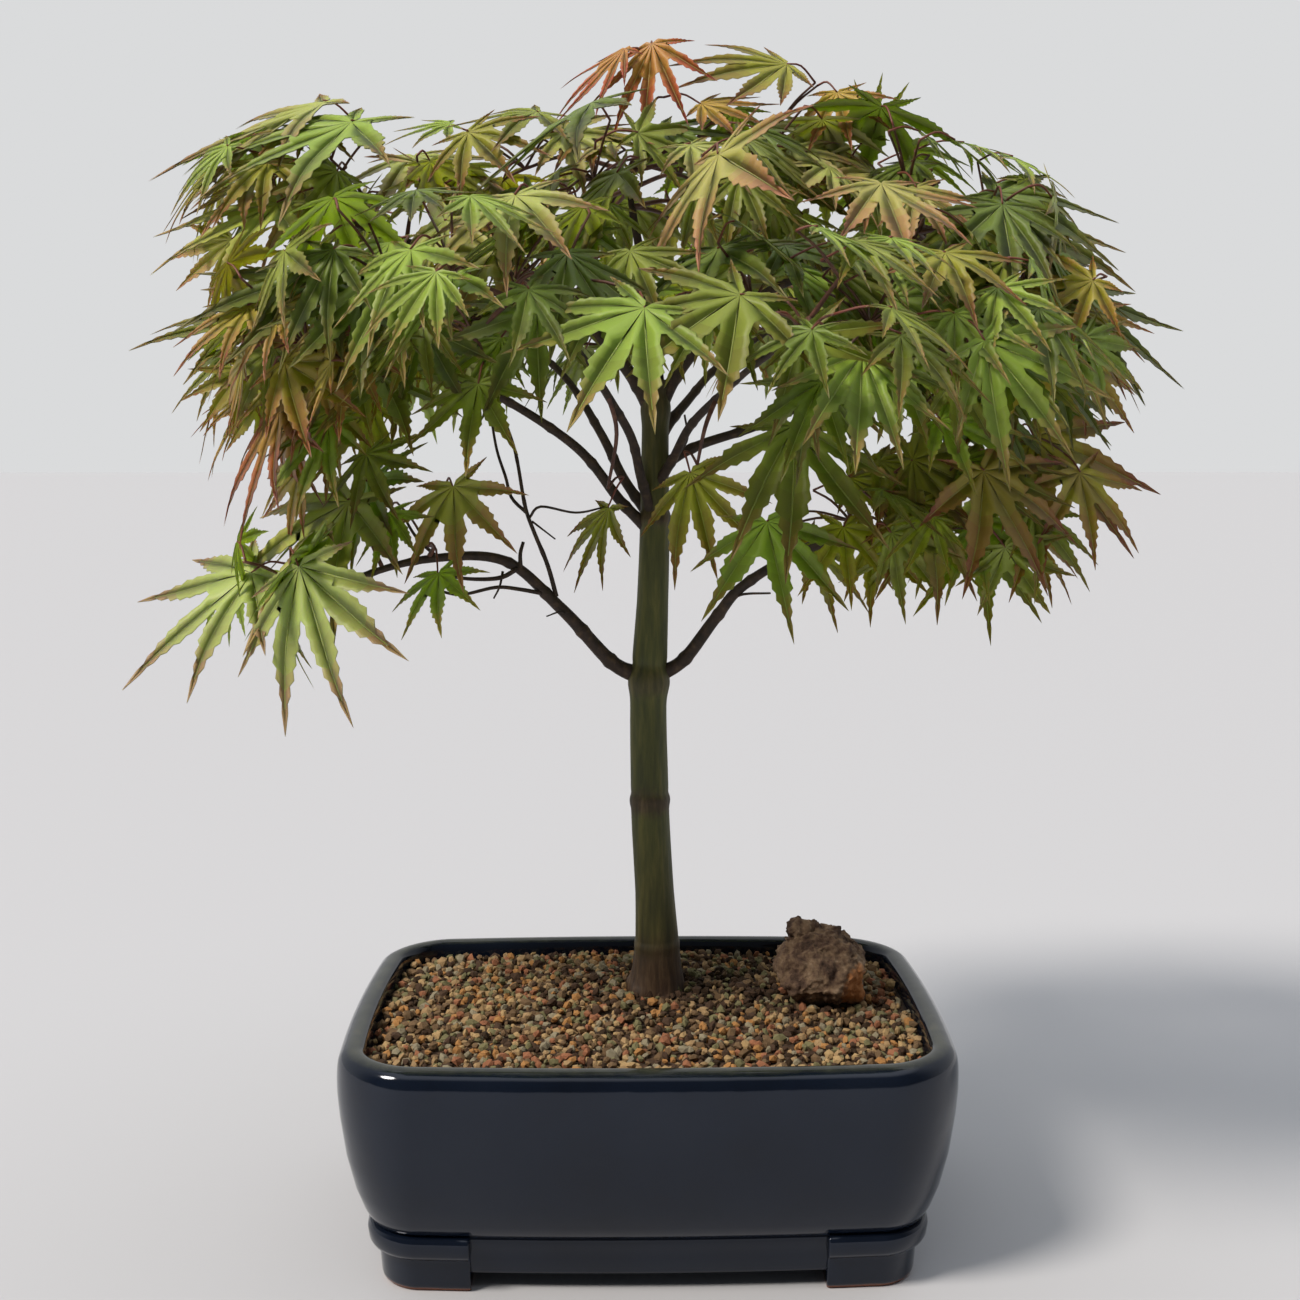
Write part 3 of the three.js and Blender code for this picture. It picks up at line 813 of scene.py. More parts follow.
def twigMaterial():
    # this year's shoots and last year's twigs: smooth and reddish brown
    return grainyMaterial(
        "reddishTwigBark", {"Roughness": 0.55}, width=3, detail=4, depth=0.15, roughness=0.6,
        stops=[(0.3, "#3d221a"), (0.55, "#5f3a2c"), (0.75, "#7b5340")],
    )


def makeTrunk():
    stations = np.array(trunkShape["stations"])
    rings, sides = trunkShape["rings"], trunkShape["sides"]
    heights = np.linspace(stations[0, 0], stations[-1, 0], rings)
    curve = smoothCurve(stations[:, [1, 2, 0]], rings)
    centres = np.stack([np.interp(heights, curve[:, 2], curve[:, k]) for k in (0, 1)] + [heights], 1)
    radii = np.interp(heights, stations[:, 0], stations[:, 3])
    for z, extra, tall in trunkShape["nodes"]:
        radii = radii + extra * np.exp(-(((heights - z) / tall) ** 2))
        # a fine groove above each ring
        radii = radii - 0.35 * extra * np.exp(-(((heights - z - tall * 1.3) / (0.45 * tall)) ** 2))
    angles = np.linspace(0, 2 * math.pi, sides, endpoint=False)
    relief = np.ones((rings, sides))
    flare = np.exp(-(heights - stations[0, 0]) / trunkShape["flareHeight"])[:, None]
    relief += trunkShape["flareDepth"] * flare * np.cos(trunkShape["flareRidges"] * angles + 0.6)
    rng = np.random.default_rng(trunkShape["seed"])
    for _ in range(trunkShape["ribs"]):
        turn, width, length = rng.uniform(0, 2 * math.pi), rng.uniform(0.12, 0.4), rng.uniform(15, 70)
        middle, lean, depth = rng.uniform(75, 290), rng.uniform(-0.006, 0.006), rng.uniform(-0.022, 0.02)
        away = np.angle(np.exp(1j * (angles[None, :] - turn - lean * (heights[:, None] - middle))))
        relief += depth * np.exp(-((away / width) ** 2) - ((heights[:, None] - middle) / length) ** 2)
    heap = MeshHeap()
    heap.add(*tubeArrays(centres, radii, sides, relief))
    trunk = heap.make("trunk_bark", [trunkMaterial()])
    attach(trunk, "root")
    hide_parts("trunk")


def boughTube(name, rng):
    path, (thick, thin) = boughShapes[name]
    length = sum(math.dist(a, b) for a, b in zip(path, path[1:]))
    count = max(24, int(length / 1.1))
    centres = smoothCurve(path, count)
    along = np.linspace(0, 1, count)
    radii = thick + (thin - thick) * along ** 0.85
    if name not in boughGrowth["noCollar"]:
        radii = radii * (1 + boughGrowth["collar"] * np.exp(-((along * length / 6) ** 2)))
    place = rng.uniform(*boughGrowth["firstScar"])
    while place < length:
        ring = np.exp(-(((along * length - place) / boughGrowth["scarHeight"]) ** 2))
        radii = radii * (1 + boughGrowth["scar"] * ring)
        place += rng.uniform(*boughGrowth["scarSpacing"])
    sway = np.sin(along[:, None] * length / np.array(boughGrowth["swayLengths"]) + rng.uniform(0, 6, 3))
    centres = centres + boughGrowth["sway"] * sway * np.minimum(1, along * 4)[:, None]
    return tubeArrays(centres, radii, 12)


def makeBoughs():
    heap = MeshHeap()
    rng = np.random.default_rng(boughGrowth["seed"])
    for name in boughShapes:
        heap.add(*boughTube(name, rng))
    for path, (thick, thin) in fineTwigs:
        heap.add(*tubeArrays(smoothCurve(path, 20), np.linspace(thick, thin, 20), 7))
    boughs = heap.make("boughs_bark", [boughMaterial()])
    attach(boughs, "root")
    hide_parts(*[name for name in boughShapes if name != "leader"])


makeTrunk()
makeBoughs()
print("trunk and boughs made")


# leaves: five long toothed lobes and two small ones at the stalk, each lobe drawn out to a thin tip

leafShape = {
    # each lobe's angle from the middle one in degrees, and its length against the middle one
    "lobes": [(0, 1.0), (36, 0.93), (73, 0.74), (117, 0.38)],
    "sinus": (0.31, 0.27, 0.18, 0.06),  # how far out the notch beyond each lobe lies
    # along a lobe, as shares of its length: where each tooth is and the half width there
    "teeth": [(0.38, 0.1), (0.47, 0.11), (0.56, 0.099), (0.65, 0.076), (0.74, 0.049), (0.84, 0.025)],
    "notch": 0.87,  # the width between two teeth, against the teeth
    "rib": 0.008,  # half the width of the pale rib, at the stalk
    "thickness": 0.004,  # of the middle lobe's length
    "fold": 0.009,  # how far each rib lies below the blade beside it
    "wave": 0.018,  # how far the blade ripples
    "heelTurn": 0.75,  # radians, from the last lobe to the heel beside the stalk
    "spreads": (0.72, 1.08),  # some leaves hold their lobes close together, others open wide
    "kinds": 20,
}

# each tint's share of painted sunlight, then its colour at the heart of the leaf, on its lobes and at its
# tips, and the paler underside
tints = {
    "Sage": ("full", "#8b9358", "#857f52", "#80644a", "#9c9c70"),
    "Rose": ("full", "#8f8d57", "#917656", "#8c6150", "#a3966f"),
    "Forest": ("full", "#55662a", "#4c5722", "#59542b", "#737c49"),
    "Moss": ("full", "#6d7832", "#626528", "#6c5831", "#848857"),
    "Meadow": ("soft", "#829a42", "#76873a", "#867349", "#9bac68"),
    "Lime": ("soft", "#a2ad58", "#999c4f", "#977f55", "#b8bf76"),
    "Pale": ("none", "#a3b366", "#9ba45f", "#9b8160", "#b5bd86"),
    "Olive": ("full", "#7b7c30", "#756a30", "#714a2f", "#8a8452"),
    "Bronze": ("full", "#877c3a", "#86683c", "#794837", "#928159"),
    "Rust": ("full", "#8b6a36", "#844e31", "#683729", "#95704f"),
    "Young": ("none", "#ad7a40", "#a9583a", "#8f3a2d", "#b57753"),
    "Amber": ("none", "#ab8c3c", "#a37638", "#8a5336", "#b0985c"),
}
paintedSunGain = {  # painted sunlight: how much the sun's light is baked into the red, green and blue of those colours
    "full": (1.145, 1.14, 1.007),
    "soft": (1.05, 1.055, 0.96),
    "none": (1, 1, 1),
}
grades = 5  # steps of colour from the heart of a leaf to its tips
ribZone, underZone = grades, grades + 1
slotOf = {tint: index * (grades + 2) for index, tint in enumerate(tints)}


def blend(first, second, share):
    return [a + (b - a) * share for a, b in zip(first, second)]


def lifted(colour, gains):
    # a hex colour with its red, green and blue multiplied
    values = [int(colour[i:i + 2], 16) for i in (1, 3, 5)]
    return "#%02x%02x%02x" % tuple(min(255, round(value * gain)) for value, gain in zip(values, gains))


def leafMaterials():
    # maple leaf: a thin satin blade that lets daylight through; each part a plain colour, dealt by spray
    made = []
    for tint, (sun, *colours) in tints.items():
        # most tints are lightened and yellowed here as painted sunlight
        heart, lobe, tip, under = [linear(lifted(colour, paintedSunGain[sun])) for colour in colours]
        graded = [heart, blend(heart, lobe, 0.55), lobe, blend(lobe, tip, 0.5), tip]
        rib = blend(heart, linear("#c9cf8e"), 0.22)
        for zone, colour in enumerate(graded + [rib, under]):
            made.append(grainyMaterial("leaf%s%d" % (tint, zone + 1), {
                "Base Color": colour, "Roughness": 0.5,
                "Specular IOR Level": 0.2 if zone == underZone else 0.4,  # the underside is duller
                "Subsurface Weight": 0.6, "Subsurface Radius": (0.8, 1.0, 0.2),
                "Subsurface Scale": 0.9 * mm,
            }, width=1.6, detail=3, depth=0.12, strength=0.5))  # puckered between the veins
    return made


def leafKind(rng, spread, slim=1.0):
    # one leaf of unit length with its stalk at the origin, the middle lobe along +Y and the face up +Z;
    # spread opens its lobes and slim narrows them
    flat, ribs, faces, zoneOf = [(0.0, 0.0)], [1.0], [], []

    def addPoint(x, y, rib=0.0):
        flat.append((x, y))
        ribs.append(rib)
        return len(flat) - 1

    def addFace(a, b, c, zone, turned):
        faces.append((a, c, b) if turned else (a, b, c))
        zoneOf.append(zone)

    lobes = []
    for side in (-1, 1):
        for number, (angle, length) in enumerate(leafShape["lobes"]):
            if number == 0 and side == 1:
                continue
            turn = math.radians(side * angle * spread + rng.uniform(-5, 5))
            lobes.append((turn, number, length * rng.uniform(0.93, 1.06)))
    lobes.sort()
    borders = []
    for (turnA, numberA, _), (turnB, numberB, _) in zip(lobes, lobes[1:]):
        middle = (turnA + turnB) / 2
        reach = leafShape["sinus"][min(numberA, numberB)] * rng.uniform(0.92, 1.08)
        borders.append(addPoint(reach * math.sin(middle), reach * math.cos(middle)))
    heel = leafShape["sinus"][3]
    first, last = lobes[0][0] - leafShape["heelTurn"], lobes[-1][0] + leafShape["heelTurn"]
    borders.insert(0, addPoint(heel * math.sin(first), heel * math.cos(first)))
    borders.append(addPoint(heel * math.sin(last), heel * math.cos(last)))
    teeth = leafShape["teeth"]
    droops = []
    for index, (turn, number, length) in enumerate(lobes):
        alongX, alongY = math.sin(turn), math.cos(turn)
        curl = rng.uniform(-0.06, 0.06)
        plump = rng.uniform(0.9, 1.08) * (0.5 + 0.5 * spread) * slim * (1.15 if number == 3 else 1.0)
        started = len(flat)

        def onLobe(t, across):
            shift = across + curl * t * t
            return length * (alongX * t + alongY * shift), length * (alongY * t - alongX * shift)

        stations = [0.2, 0.34] + [t for t, _ in teeth]
        pairs = []
        for t in stations:
            narrow = leafShape["rib"] * (1 - 0.75 * t)
            pairs.append([addPoint(*onLobe(t, side * narrow), 1 - 0.7 * t) for side in (-1, 1)])
        tip = addPoint(*onLobe(1.0, 0))
        zones = (0, 1, 2, 2, 3, 4, 4)
        for half, border in ((0, borders[index]), (1, borders[index + 1])):
            side = 2 * half - 1
            turned = half == 0
            rib = [pair[half] for pair in pairs]
            edge = [border]
            for t, width in teeth:
                wide = width * plump * rng.uniform(0.94, 1.06)
                edge.append(addPoint(*onLobe(t - 0.035, side * wide * leafShape["notch"])))
                edge.append(addPoint(*onLobe(t + 0.022, side * wide)))
            addFace(0, border, rib[0], 0, turned)
            addFace(rib[0], border, rib[1], 0, turned)
            addFace(rib[1], edge[0], edge[1], 0, turned)
            addFace(rib[1], edge[1], rib[2], 0, turned)
            for tooth in range(len(teeth)):
                zone = zones[tooth + 1]
                addFace(rib[2 + tooth], edge[1 + 2 * tooth], edge[2 + 2 * tooth], zone, turned)
                if tooth + 1 < len(teeth):
                    addFace(rib[2 + tooth], edge[2 + 2 * tooth], rib[3 + tooth], zone, turned)
                    addFace(rib[3 + tooth], edge[2 + 2 * tooth], edge[3 + 2 * tooth], zone, turned)
                else:
                    addFace(rib[2 + tooth], edge[2 + 2 * tooth], tip, zone, turned)
        addFace(0, pairs[0][0], pairs[0][1], ribZone, False)
        for near, far in zip(pairs, pairs[1:]):
            addFace(near[0], far[0], far[1], ribZone, False)
            addFace(near[0], far[1], near[1], ribZone, False)
        addFace(pairs[-1][0], tip, pairs[-1][1], zones[-1], False)
        droops += [rng.uniform(-0.02, 0.16)] * (len(flat) - started)
    flat, ribs, faces = np.array(flat), np.array(ribs), np.array(faces)
    # the blade is folded up a little beside each rib, and each lobe arches over in its own way
    out = np.hypot(flat[:, 0], flat[:, 1])
    height = -rng.uniform(0.03, 0.14) * out ** 2 - leafShape["fold"] * ribs * np.minimum(out * 4, 1)
    height[-len(droops):] -= np.array(droops) * out[-len(droops):] ** 2
    waves = np.sin(flat[:, 0] * 6 + rng.uniform(0, 6)) * np.sin(flat[:, 1] * 5 + rng.uniform(0, 6))
    height += leafShape["wave"] * waves
    top = np.column_stack([flat, height])
    under = top - np.array([0, 0, leafShape["thickness"]])
    allFaces = np.vstack([faces, faces[:, ::-1] + len(top)])
    allZones = np.concatenate([zoneOf, np.full(len(faces), underZone)])
    return np.vstack([top, under]), allFaces, allZones


# for each mass of leaves: the bough that feeds it, its count of leaves, and its tints with their shares
crown = {
    "leaves_crest": ("leader", 0, {"Young": 2, "Amber": 2, "Olive": 1}),
    "leaves_top": ("leader", 46, {"Sage": 3, "Forest": 3, "Moss": 3, "Rose": 2, "Olive": 1}),
    "leaves_upper_left": (
        "bough_top_left", 36, {"Sage": 2, "Moss": 3, "Lime": 1, "Rose": 2, "Olive": 2, "Meadow": 2}),
    "leaves_upper_right": (
        "bough_top_right", 36, {"Forest": 3, "Moss": 3, "Rose": 2, "Meadow": 2, "Sage": 1}),
    "leaves_mid_left": (
        "bough_left_outer", 31, {"Olive": 3, "Bronze": 2, "Rust": 2, "Moss": 2, "Meadow": 1}),
    "leaves_mid_right": ("bough_right_outer", 34, {"Meadow": 3, "Forest": 3, "Bronze": 2, "Moss": 2}),
    "leaves_low_left": ("bough_low_left", 6, {"Lime": 4, "Meadow": 2, "Sage": 3}),
    "leaves_low_right": ("bough_low_right", 22, {"Olive": 4, "Bronze": 2, "Moss": 3, "Meadow": 2}),
    "leaves_front_left": (
        "bough_front_left", 28, {"Moss": 4, "Sage": 1, "Meadow": 2, "Rose": 1, "Forest": 4}),
    "leaves_front_right": (
        "bough_front_right", 29, {"Meadow": 2, "Moss": 4, "Forest": 4, "Bronze": 1, "Olive": 1}),
    "leaves_left_front": ("bough_left_outer", 17, {"Meadow": 2, "Moss": 3, "Olive": 2, "Bronze": 1}),
    "leaves_right_front": ("bough_right_outer", 17, {"Meadow": 2, "Forest": 3, "Moss": 2, "Rose": 1}),
    "leaves_left_back": ("bough_left_inner", 26, {"Olive": 3, "Moss": 3, "Meadow": 2, "Bronze": 2}),
    "leaves_right_back": ("bough_back_right", 26, {"Forest": 3, "Meadow": 3, "Moss": 2, "Bronze": 1}),
    "leaves_back_left": ("bough_back", 28, {"Forest": 3, "Sage": 2, "Meadow": 2, "Moss": 3}),
    "leaves_back_right": ("bough_back_right", 28, {"Forest": 3, "Sage": 2, "Moss": 3, "Rose": 1}),
}

# which masses are joined into each piece of leaves
leafPieces = {
    "maple_leaves_crest": ["leaves_crest"],
    "maple_leaves_top": ["leaves_top", "leaves_upper_left", "leaves_upper_right"],
    "maple_leaves_left": ["leaves_mid_left", "leaves_low_left", "leaves_left_front", "leaves_left_back"],
    "maple_leaves_right": [
        "leaves_mid_right", "leaves_low_right", "leaves_right_front", "leaves_right_back"],
    "maple_leaves_front": ["leaves_front_left", "leaves_front_right"],
    "maple_leaves_back": ["leaves_back_left", "leaves_back_right"],
}

# the leaves that draw the crown's outline: mass, stalk and middle tip in mm, tint, and roll in degrees
outlineLeaves = [
    ("leaves_crest", (-7, 8, 401), (-31, -4, 374), "Young", 12),
    ("leaves_crest", (2, 8, 403), (2, -8, 368), "Young", 10),
    ("leaves_crest", (47, 10, 397), (10, -4, 384), "Olive", -12),
    ("leaves_crest", (18, 0, 382), (40, -14, 371), "Amber", 0),
    ("leaves_crest", (64, 10, 388), (67, -6, 366), "Amber", 15),
    ("leaves_crest", (76, 10, 374), (79, 8, 394), "Forest", -30),
    ("leaves_upper_left", (-106, 0, 383), (-161, -12, 356), "Sage", 6),
    ("leaves_upper_left", (-92, -30, 371), (-137, -50, 343), "Meadow", 4),
    ("leaves_upper_left", (-117, -24, 347), (-154, -38, 323), "Lime", 0),
    ("leaves_upper_right", (112, -16, 352), (150, -28, 326), "Forest", 0),
    ("leaves_upper_right", (124, 4, 344), (163, -4, 322), "Moss", 10),
    ("leaves_top", (-17, -40, 374), (-50, -68, 345), "Forest", 26),
    ("leaves_top", (-36, 2, 380), (-66, -12, 364), "Moss", 0),
    ("leaves_top", (-58, -8, 372), (-40, -30, 352), "Olive", 0),
    ("leaves_top", (-66, 14, 378), (-88, 8, 370), "Meadow", 0),
    ("leaves_top", (20, -62, 356), (13, -92, 318), "Rose", 46),
    ("leaves_mid_left", (-115, -36, 284), (-126, -48, 238), "Rust", 20),
    ("leaves_mid_left", (-126, -20, 312), (-163, -32, 300), "Moss", 0),
    ("leaves_mid_right", (139, 0, 322), (179, -6, 288), "Forest", 0),
    ("leaves_mid_right", (129, -8, 274), (160, -14, 231), "Bronze", 10),
    ("leaves_low_left", (-111, -36, 233), (-95, -60, 183), "Pale", 0),
    ("leaves_low_left", (-131, -14, 229), (-173, -26, 194), "Pale", 0),
    ("leaves_low_left", (-99, -12, 253), (-133, -34, 205), "Lime", 0),
    ("leaves_low_left", (-68, -26, 230), (-67, -46, 210), "Meadow", 0),
    ("leaves_low_left", (-63, -24, 258), (-61, -44, 224), "Rose", 0),
    ("leaves_low_left", (-84, -20, 249), (-80, -40, 229), "Meadow", 0),
    ("leaves_low_left", (-92, -14, 268), (-80, -36, 246), "Moss", 0),
    ("leaves_low_right", (38, -34, 247), (42, -50, 209), "Meadow", 0),
    ("leaves_low_right", (108, -30, 263), (127, -44, 224), "Bronze", 0),
    ("leaves_low_right", (89, -30, 253), (93, -40, 214), "Olive", -10),
    ("leaves_front_right", (43, -68, 277), (43, -94, 232), "Moss", 0),
    ("leaves_front_right", (24, -104, 312), (-6, -124, 288), "Moss", 0),
    ("leaves_front_left", (-2, -108, 308), (-26, -134, 276), "Meadow", 0),
    ("leaves_front_left", (-38, -84, 341), (-42, -110, 310), "Sage", 0),
    ("leaves_front_left", (-50, -72, 289), (-55, -92, 262), "Moss", 0),
    ("leaves_front_left", (-13, -4, 250), (-26, -8, 222), "Olive", 25),
    ("leaves_left_front", (-93, -64, 320), (-138, -74, 303), "Forest", 0),
    ("leaves_left_front", (-99, -44, 278), (-108, -62, 247), "Meadow", 0),
    ("leaves_upper_right", (111, -32, 346), (106, -62, 312), "Forest", 0),
    ("leaves_upper_right", (71, -44, 350), (74, -74, 322), "Rose", 0),
    ("leaves_mid_right", (126, -34, 311), (140, -46, 275), "Meadow", 0),
    ("leaves_mid_right", (144, -12, 262), (147, -22, 230), "Bronze", 0),
    ("leaves_right_front", (59, -92, 296), (52, -122, 264), "Meadow", -10),
    ("leaves_low_right", (63, -30, 245), (65, -42, 219), "Olive", 0),
    ("leaves_front_right", (14, -20, 262), (24, -30, 228), "Olive", 30),
]

growth = {
    "seed": 7,
    "crownCentre": (3.0, 8.0, 262.0),  # mm, where the umbrella opens from
    "towardsSun": (-0.25, -0.8, 0.3),  # the leaves turn their faces a little to the light
    "leafLength": (23.0, 47.0, 32.0),  # mm, from stalk to middle tip: least, most and usual
    "spacing": 13.0,  # mm, least distance between two stalks
    "margin": 2.0,  # mm, how far a random leaf's tips may stand out of the masses
    "tries": 110,  # places tried for each leaf
    "sprayLeaves": 5,  # leaves on one spray, about
    "petiole": (16.0, 30.0),
    "petioleRadii": (0.42, 0.3),
    "twigRadii": (0.9, 0.5),
    "budRadius": 0.38,
    "youngKinds": 3,  # the young leaves on top are narrower, with their lobes closer together
    "youngSpread": 0.66,
    "youngSlimness": 0.72,
}


def massTree(node):
    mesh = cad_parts[node].data
    return BVHTree.FromPolygons([v.co for v in mesh.vertices], [p.vertices[:] for p in mesh.polygons])


def sampleSurface(node, rng, count):
    # random places on a mass, evenly by area, with their outward normals, in mm
    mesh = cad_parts[node].data
    mesh.calc_loop_triangles()
    corners = np.array([v.co[:] for v in mesh.vertices])[
        np.array([t.vertices[:] for t in mesh.loop_triangles])] / mm
    normals = np.cross(corners[:, 1] - corners[:, 0], corners[:, 2] - corners[:, 0])
    areas = np.linalg.norm(normals, axis=1)
    normals = normals / np.maximum(areas, 1e-9)[:, None]
    picked = rng.choices(range(len(corners)), list(areas), k=count)
    places = []
    for i in picked:
        a, b = sorted((rng.random(), rng.random()))
        p = corners[i, 0] * a + corners[i, 1] * (b - a) + corners[i, 2] * (1 - b)
        places.append((Vector(p), Vector(normals[i])))
    return places


def inCrown(place, trees, node):
    # whether a place in mm lies in a mass of leaves, its own or another, or no further out than the margin
    for tree in [trees[node]] + list(trees.values()):
        hit, normal, _, _ = tree.find_nearest(place * mm)
        if hit is not None and (place * mm - hit).dot(normal) < growth["margin"] * mm:
            return True
    return False


def faceTo(outward):
    # which way a leaf's face looks: partly up, partly out of the crown and partly to the light
    return up * 0.45 + outward * 0.45 + Vector(growth["towardsSun"]) * 0.75


def hang(place, normal, rng):
    # which way a leaf's middle lobe points: out from the crown, and down, steeper lower on the crown
    outward = (place - Vector(growth["crownCentre"])).normalized() * 0.6 + normal * 0.6
    flat = Vector((outward.x, outward.y, 0))
    if flat.length < 0.2:
        flat = Vector((rng.uniform(-1, 1), rng.uniform(-1, 1), 0))
    flat.normalize()
    steep = 0.28 + rng.uniform(0.35, 1.05) * (1 - min(1, max(0, normal.z)))
    forward = Matrix.Rotation(math.radians(rng.gauss(0, 40)), 3, up) @ (flat - up * steep).normalized()
    return forward, faceTo(outward) + Vector([rng.gauss(0, 0.28) for _ in range(3)])


def squareUp(forward, face, roll):
    # a leaf's axes: along its middle lobe, out of its face and across it
    face = (face - forward * face.dot(forward)).normalized()
    face = Matrix.Rotation(math.radians(roll), 3, forward) @ face
    return forward, face, forward.cross(face)


def givenLeaves(node):
    # the mass's outline leaves, as stalk, axes, length and tint
    given = []
    for mass, stalk, tip, tint, roll in outlineLeaves:
        if mass == node:
            stalk, tip = Vector(stalk), Vector(tip)
            face = faceTo((stalk - Vector(growth["crownCentre"])).normalized())
            axes = squareUp((tip - stalk).normalized(), face, roll)
            given.append((stalk, axes, (tip - stalk).length, tint))
    return given


def isCovered(place, trees, node):
    # whether a place lies inside another mass than its own
    for other, tree in trees.items():
        if other != node:
            hit, normal, _, _ = tree.find_nearest(place)
            if hit is not None and (place - hit).dot(normal) < 0:
                return True
    return False


def chooseLeaves(node, wanted, rng, trees, taken):
    chosen = givenLeaves(node)
    wanted += len(chosen)
    for place, normal in sampleSurface(node, rng, wanted * growth["tries"]):
        if len(chosen) >= wanted:
            break
        outward = (place - Vector(growth["crownCentre"])).normalized()
        if normal.dot(outward) < -0.3 or (normal.z < -0.3 and rng.random() < 0.7):
            continue
        if isCovered((place + normal * 8) * mm, trees, node) and rng.random() < 0.85:
            continue
        forward, face = hang(place, normal, rng)
        size = rng.triangular(*growth["leafLength"])
        # the tips reach the mass's outline where the leaf points out of it, and lie along it elsewhere
        stalk = place - normal * 2 - forward * size * (0.35 + 0.55 * max(0, forward.dot(normal)))
        if any((stalk - other).length < growth["spacing"] for other in taken):
            continue
        axes = squareUp(forward, face, rng.gauss(0, 16))
        tips = [
            stalk + (axes[0] * math.cos(turn) + axes[2] * math.sin(turn)) * size * 0.9
            for turn in (0, 0.65, -0.65, 1.2, -1.2)
        ]
        if all(inCrown(tip, trees, node) for tip in tips):
            taken.append(stalk)
            chosen.append((stalk, axes, size, None))
    return chosen


def gatherSprays(leaves, rng):
    # each leaf joins the nearest of a few hubs, which settle in the middle of their leaves
    count = max(2, round(len(leaves) / growth["sprayLeaves"]))
    hubs = [leaves[i][0].copy() for i in rng.sample(range(len(leaves)), count)]
    for _ in range(6):
        groups = [[] for _ in hubs]
        for leaf in leaves:
            groups[min(range(len(hubs)), key=lambda k: (hubs[k] - leaf[0]).length)].append(leaf)
        hubs = [
            sum((leaf[0] for leaf in group), Vector()) / len(group) if group else hub
            for hub, group in zip(hubs, groups)
        ]
    return [(hub, group) for hub, group in zip(hubs, groups) if group]


def archTo(points, forward, face, size):
    # a leaf with a place given for its tip rises from its stalk and arches over to it
    tip = points[points[:, 1].argmax()]
    bend = math.atan2(-tip[2], tip[1])
    rising = forward * math.cos(bend) + face * math.sin(bend)
    return rising, face * math.cos(bend) - forward * math.sin(bend), size / math.hypot(tip[1], tip[2])


def growSpray(hub, group, path, shares, kinds, heaps, rng):
    # a twig from the bough to the spray, and from its end a shoot, a stalk and a blade for each leaf
    root = Vector(min(path, key=lambda p: (Vector(p) - hub).length + 0.25 * abs(p[2] - hub.z)))
    joint = root.lerp(hub, 0.72) - up * 4
    bow = root.lerp(joint, 0.5) + Vector([rng.uniform(-3, 3) for _ in range(3)]) + up * 2
    thick, thin = growth["twigRadii"]
    heaps["twigs"].add(*tubeArrays(smoothCurve([root, bow, joint], 12), np.linspace(thick, thin, 12), 6))
    tones, weights = list(shares), list(shares.values())
    spray = rng.choices(tones, weights)[0]
    for stalk, (forward, face, across), size, ownTint in group:
        dealt = spray if rng.random() < 0.6 else rng.choices(tones, weights)[0]
        tint = ownTint or dealt
        # the leaf's stalk comes from a bud a little behind it on the spray
        back = stalk - forward * rng.uniform(*growth["petiole"]) * 0.6 - up * rng.uniform(0, 8)
        bud = back.lerp(joint, 0.25)
        shoot = smoothCurve([joint, joint.lerp(bud, 0.5) + up * 1.5, bud], 8)
        heaps["twigs"].add(*tubeArrays(shoot, np.linspace(thin, growth["budRadius"], 8), 6))
        middle = bud.lerp(stalk, 0.5) + up * rng.uniform(0, 2.5)
        petiole = smoothCurve([bud, middle, stalk], 8)
        heaps["stalks"].add(*tubeArrays(petiole, np.linspace(*growth["petioleRadii"], 8), 5))
        choice = kinds["Young" if tint == "Young" else "grown"]
        points, faces, zoneOf = choice[rng.randrange(len(choice))]
        if ownTint:
            forward, face, size = archTo(points, forward, face, size)
        placed = points * size @ np.array([across, forward, face])
        if not ownTint:
            out = np.hypot(points[:, 0], points[:, 1])
            placed[:, 2] -= rng.uniform(0.0, 0.1) * size * out ** 2 * max(0.15, face.z)
        heaps["blades"].add(placed + np.array(stalk), faces, zoneOf + slotOf[tint])


def stalkMaterial():
    # leaf stalks: smooth, thin and wine red to brown, as this maple's are in summer
    return grainyMaterial(
        "redLeafStalk", {"Base Color": linear("#6f3a2c"), "Roughness": 0.5},
        width=1.5, detail=3, depth=0.1,
    )


def growCrown():
    rng = random.Random(growth["seed"])
    trees = {node: massTree(node) for node in crown}
    kinds = {"grown": [
        leafKind(rng, spread) for spread in np.linspace(*leafShape["spreads"], leafShape["kinds"])]}
    kinds["Young"] = [
        leafKind(rng, growth["youngSpread"], growth["youngSlimness"]) for _ in range(growth["youngKinds"])]
    stalks, twigs = MeshHeap(), MeshHeap()
    blades = {node: MeshHeap() for node in crown}
    taken = [Vector(stalk) for _, stalk, _, _, _ in outlineLeaves]
    leafCount = 0
    for node, (bough, wanted, shares) in crown.items():
        leaves = chooseLeaves(node, wanted, rng, trees, taken)
        leafCount += len(leaves)
        path = smoothCurve(boughShapes[bough][0], 40)[18:]
        heaps = {"twigs": twigs, "stalks": stalks, "blades": blades[node]}
        for hub, group in gatherSprays(leaves, rng):
            growSpray(hub, group, path, shares, kinds, heaps, rng)
    materials = leafMaterials()
    for name, nodes in leafPieces.items():
        joined = MeshHeap()
        for node in nodes:
            joined.add(*[np.concatenate(rows) for rows in (
                blades[node].points, blades[node].faces, blades[node].slots)])
        piece = joined.make(name, materials)
        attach(piece, "root")
        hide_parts(*nodes)
        print(name, len(piece.data.polygons), "faces")
    for heap, name, material in (
        (twigs, "maple_twigs", twigMaterial()), (stalks, "maple_leaf_stalks", stalkMaterial()),
    ):
        piece = heap.make(name, [material])
        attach(piece, "root")
    print("crown grown:", leafCount, "leaves")


growCrown()


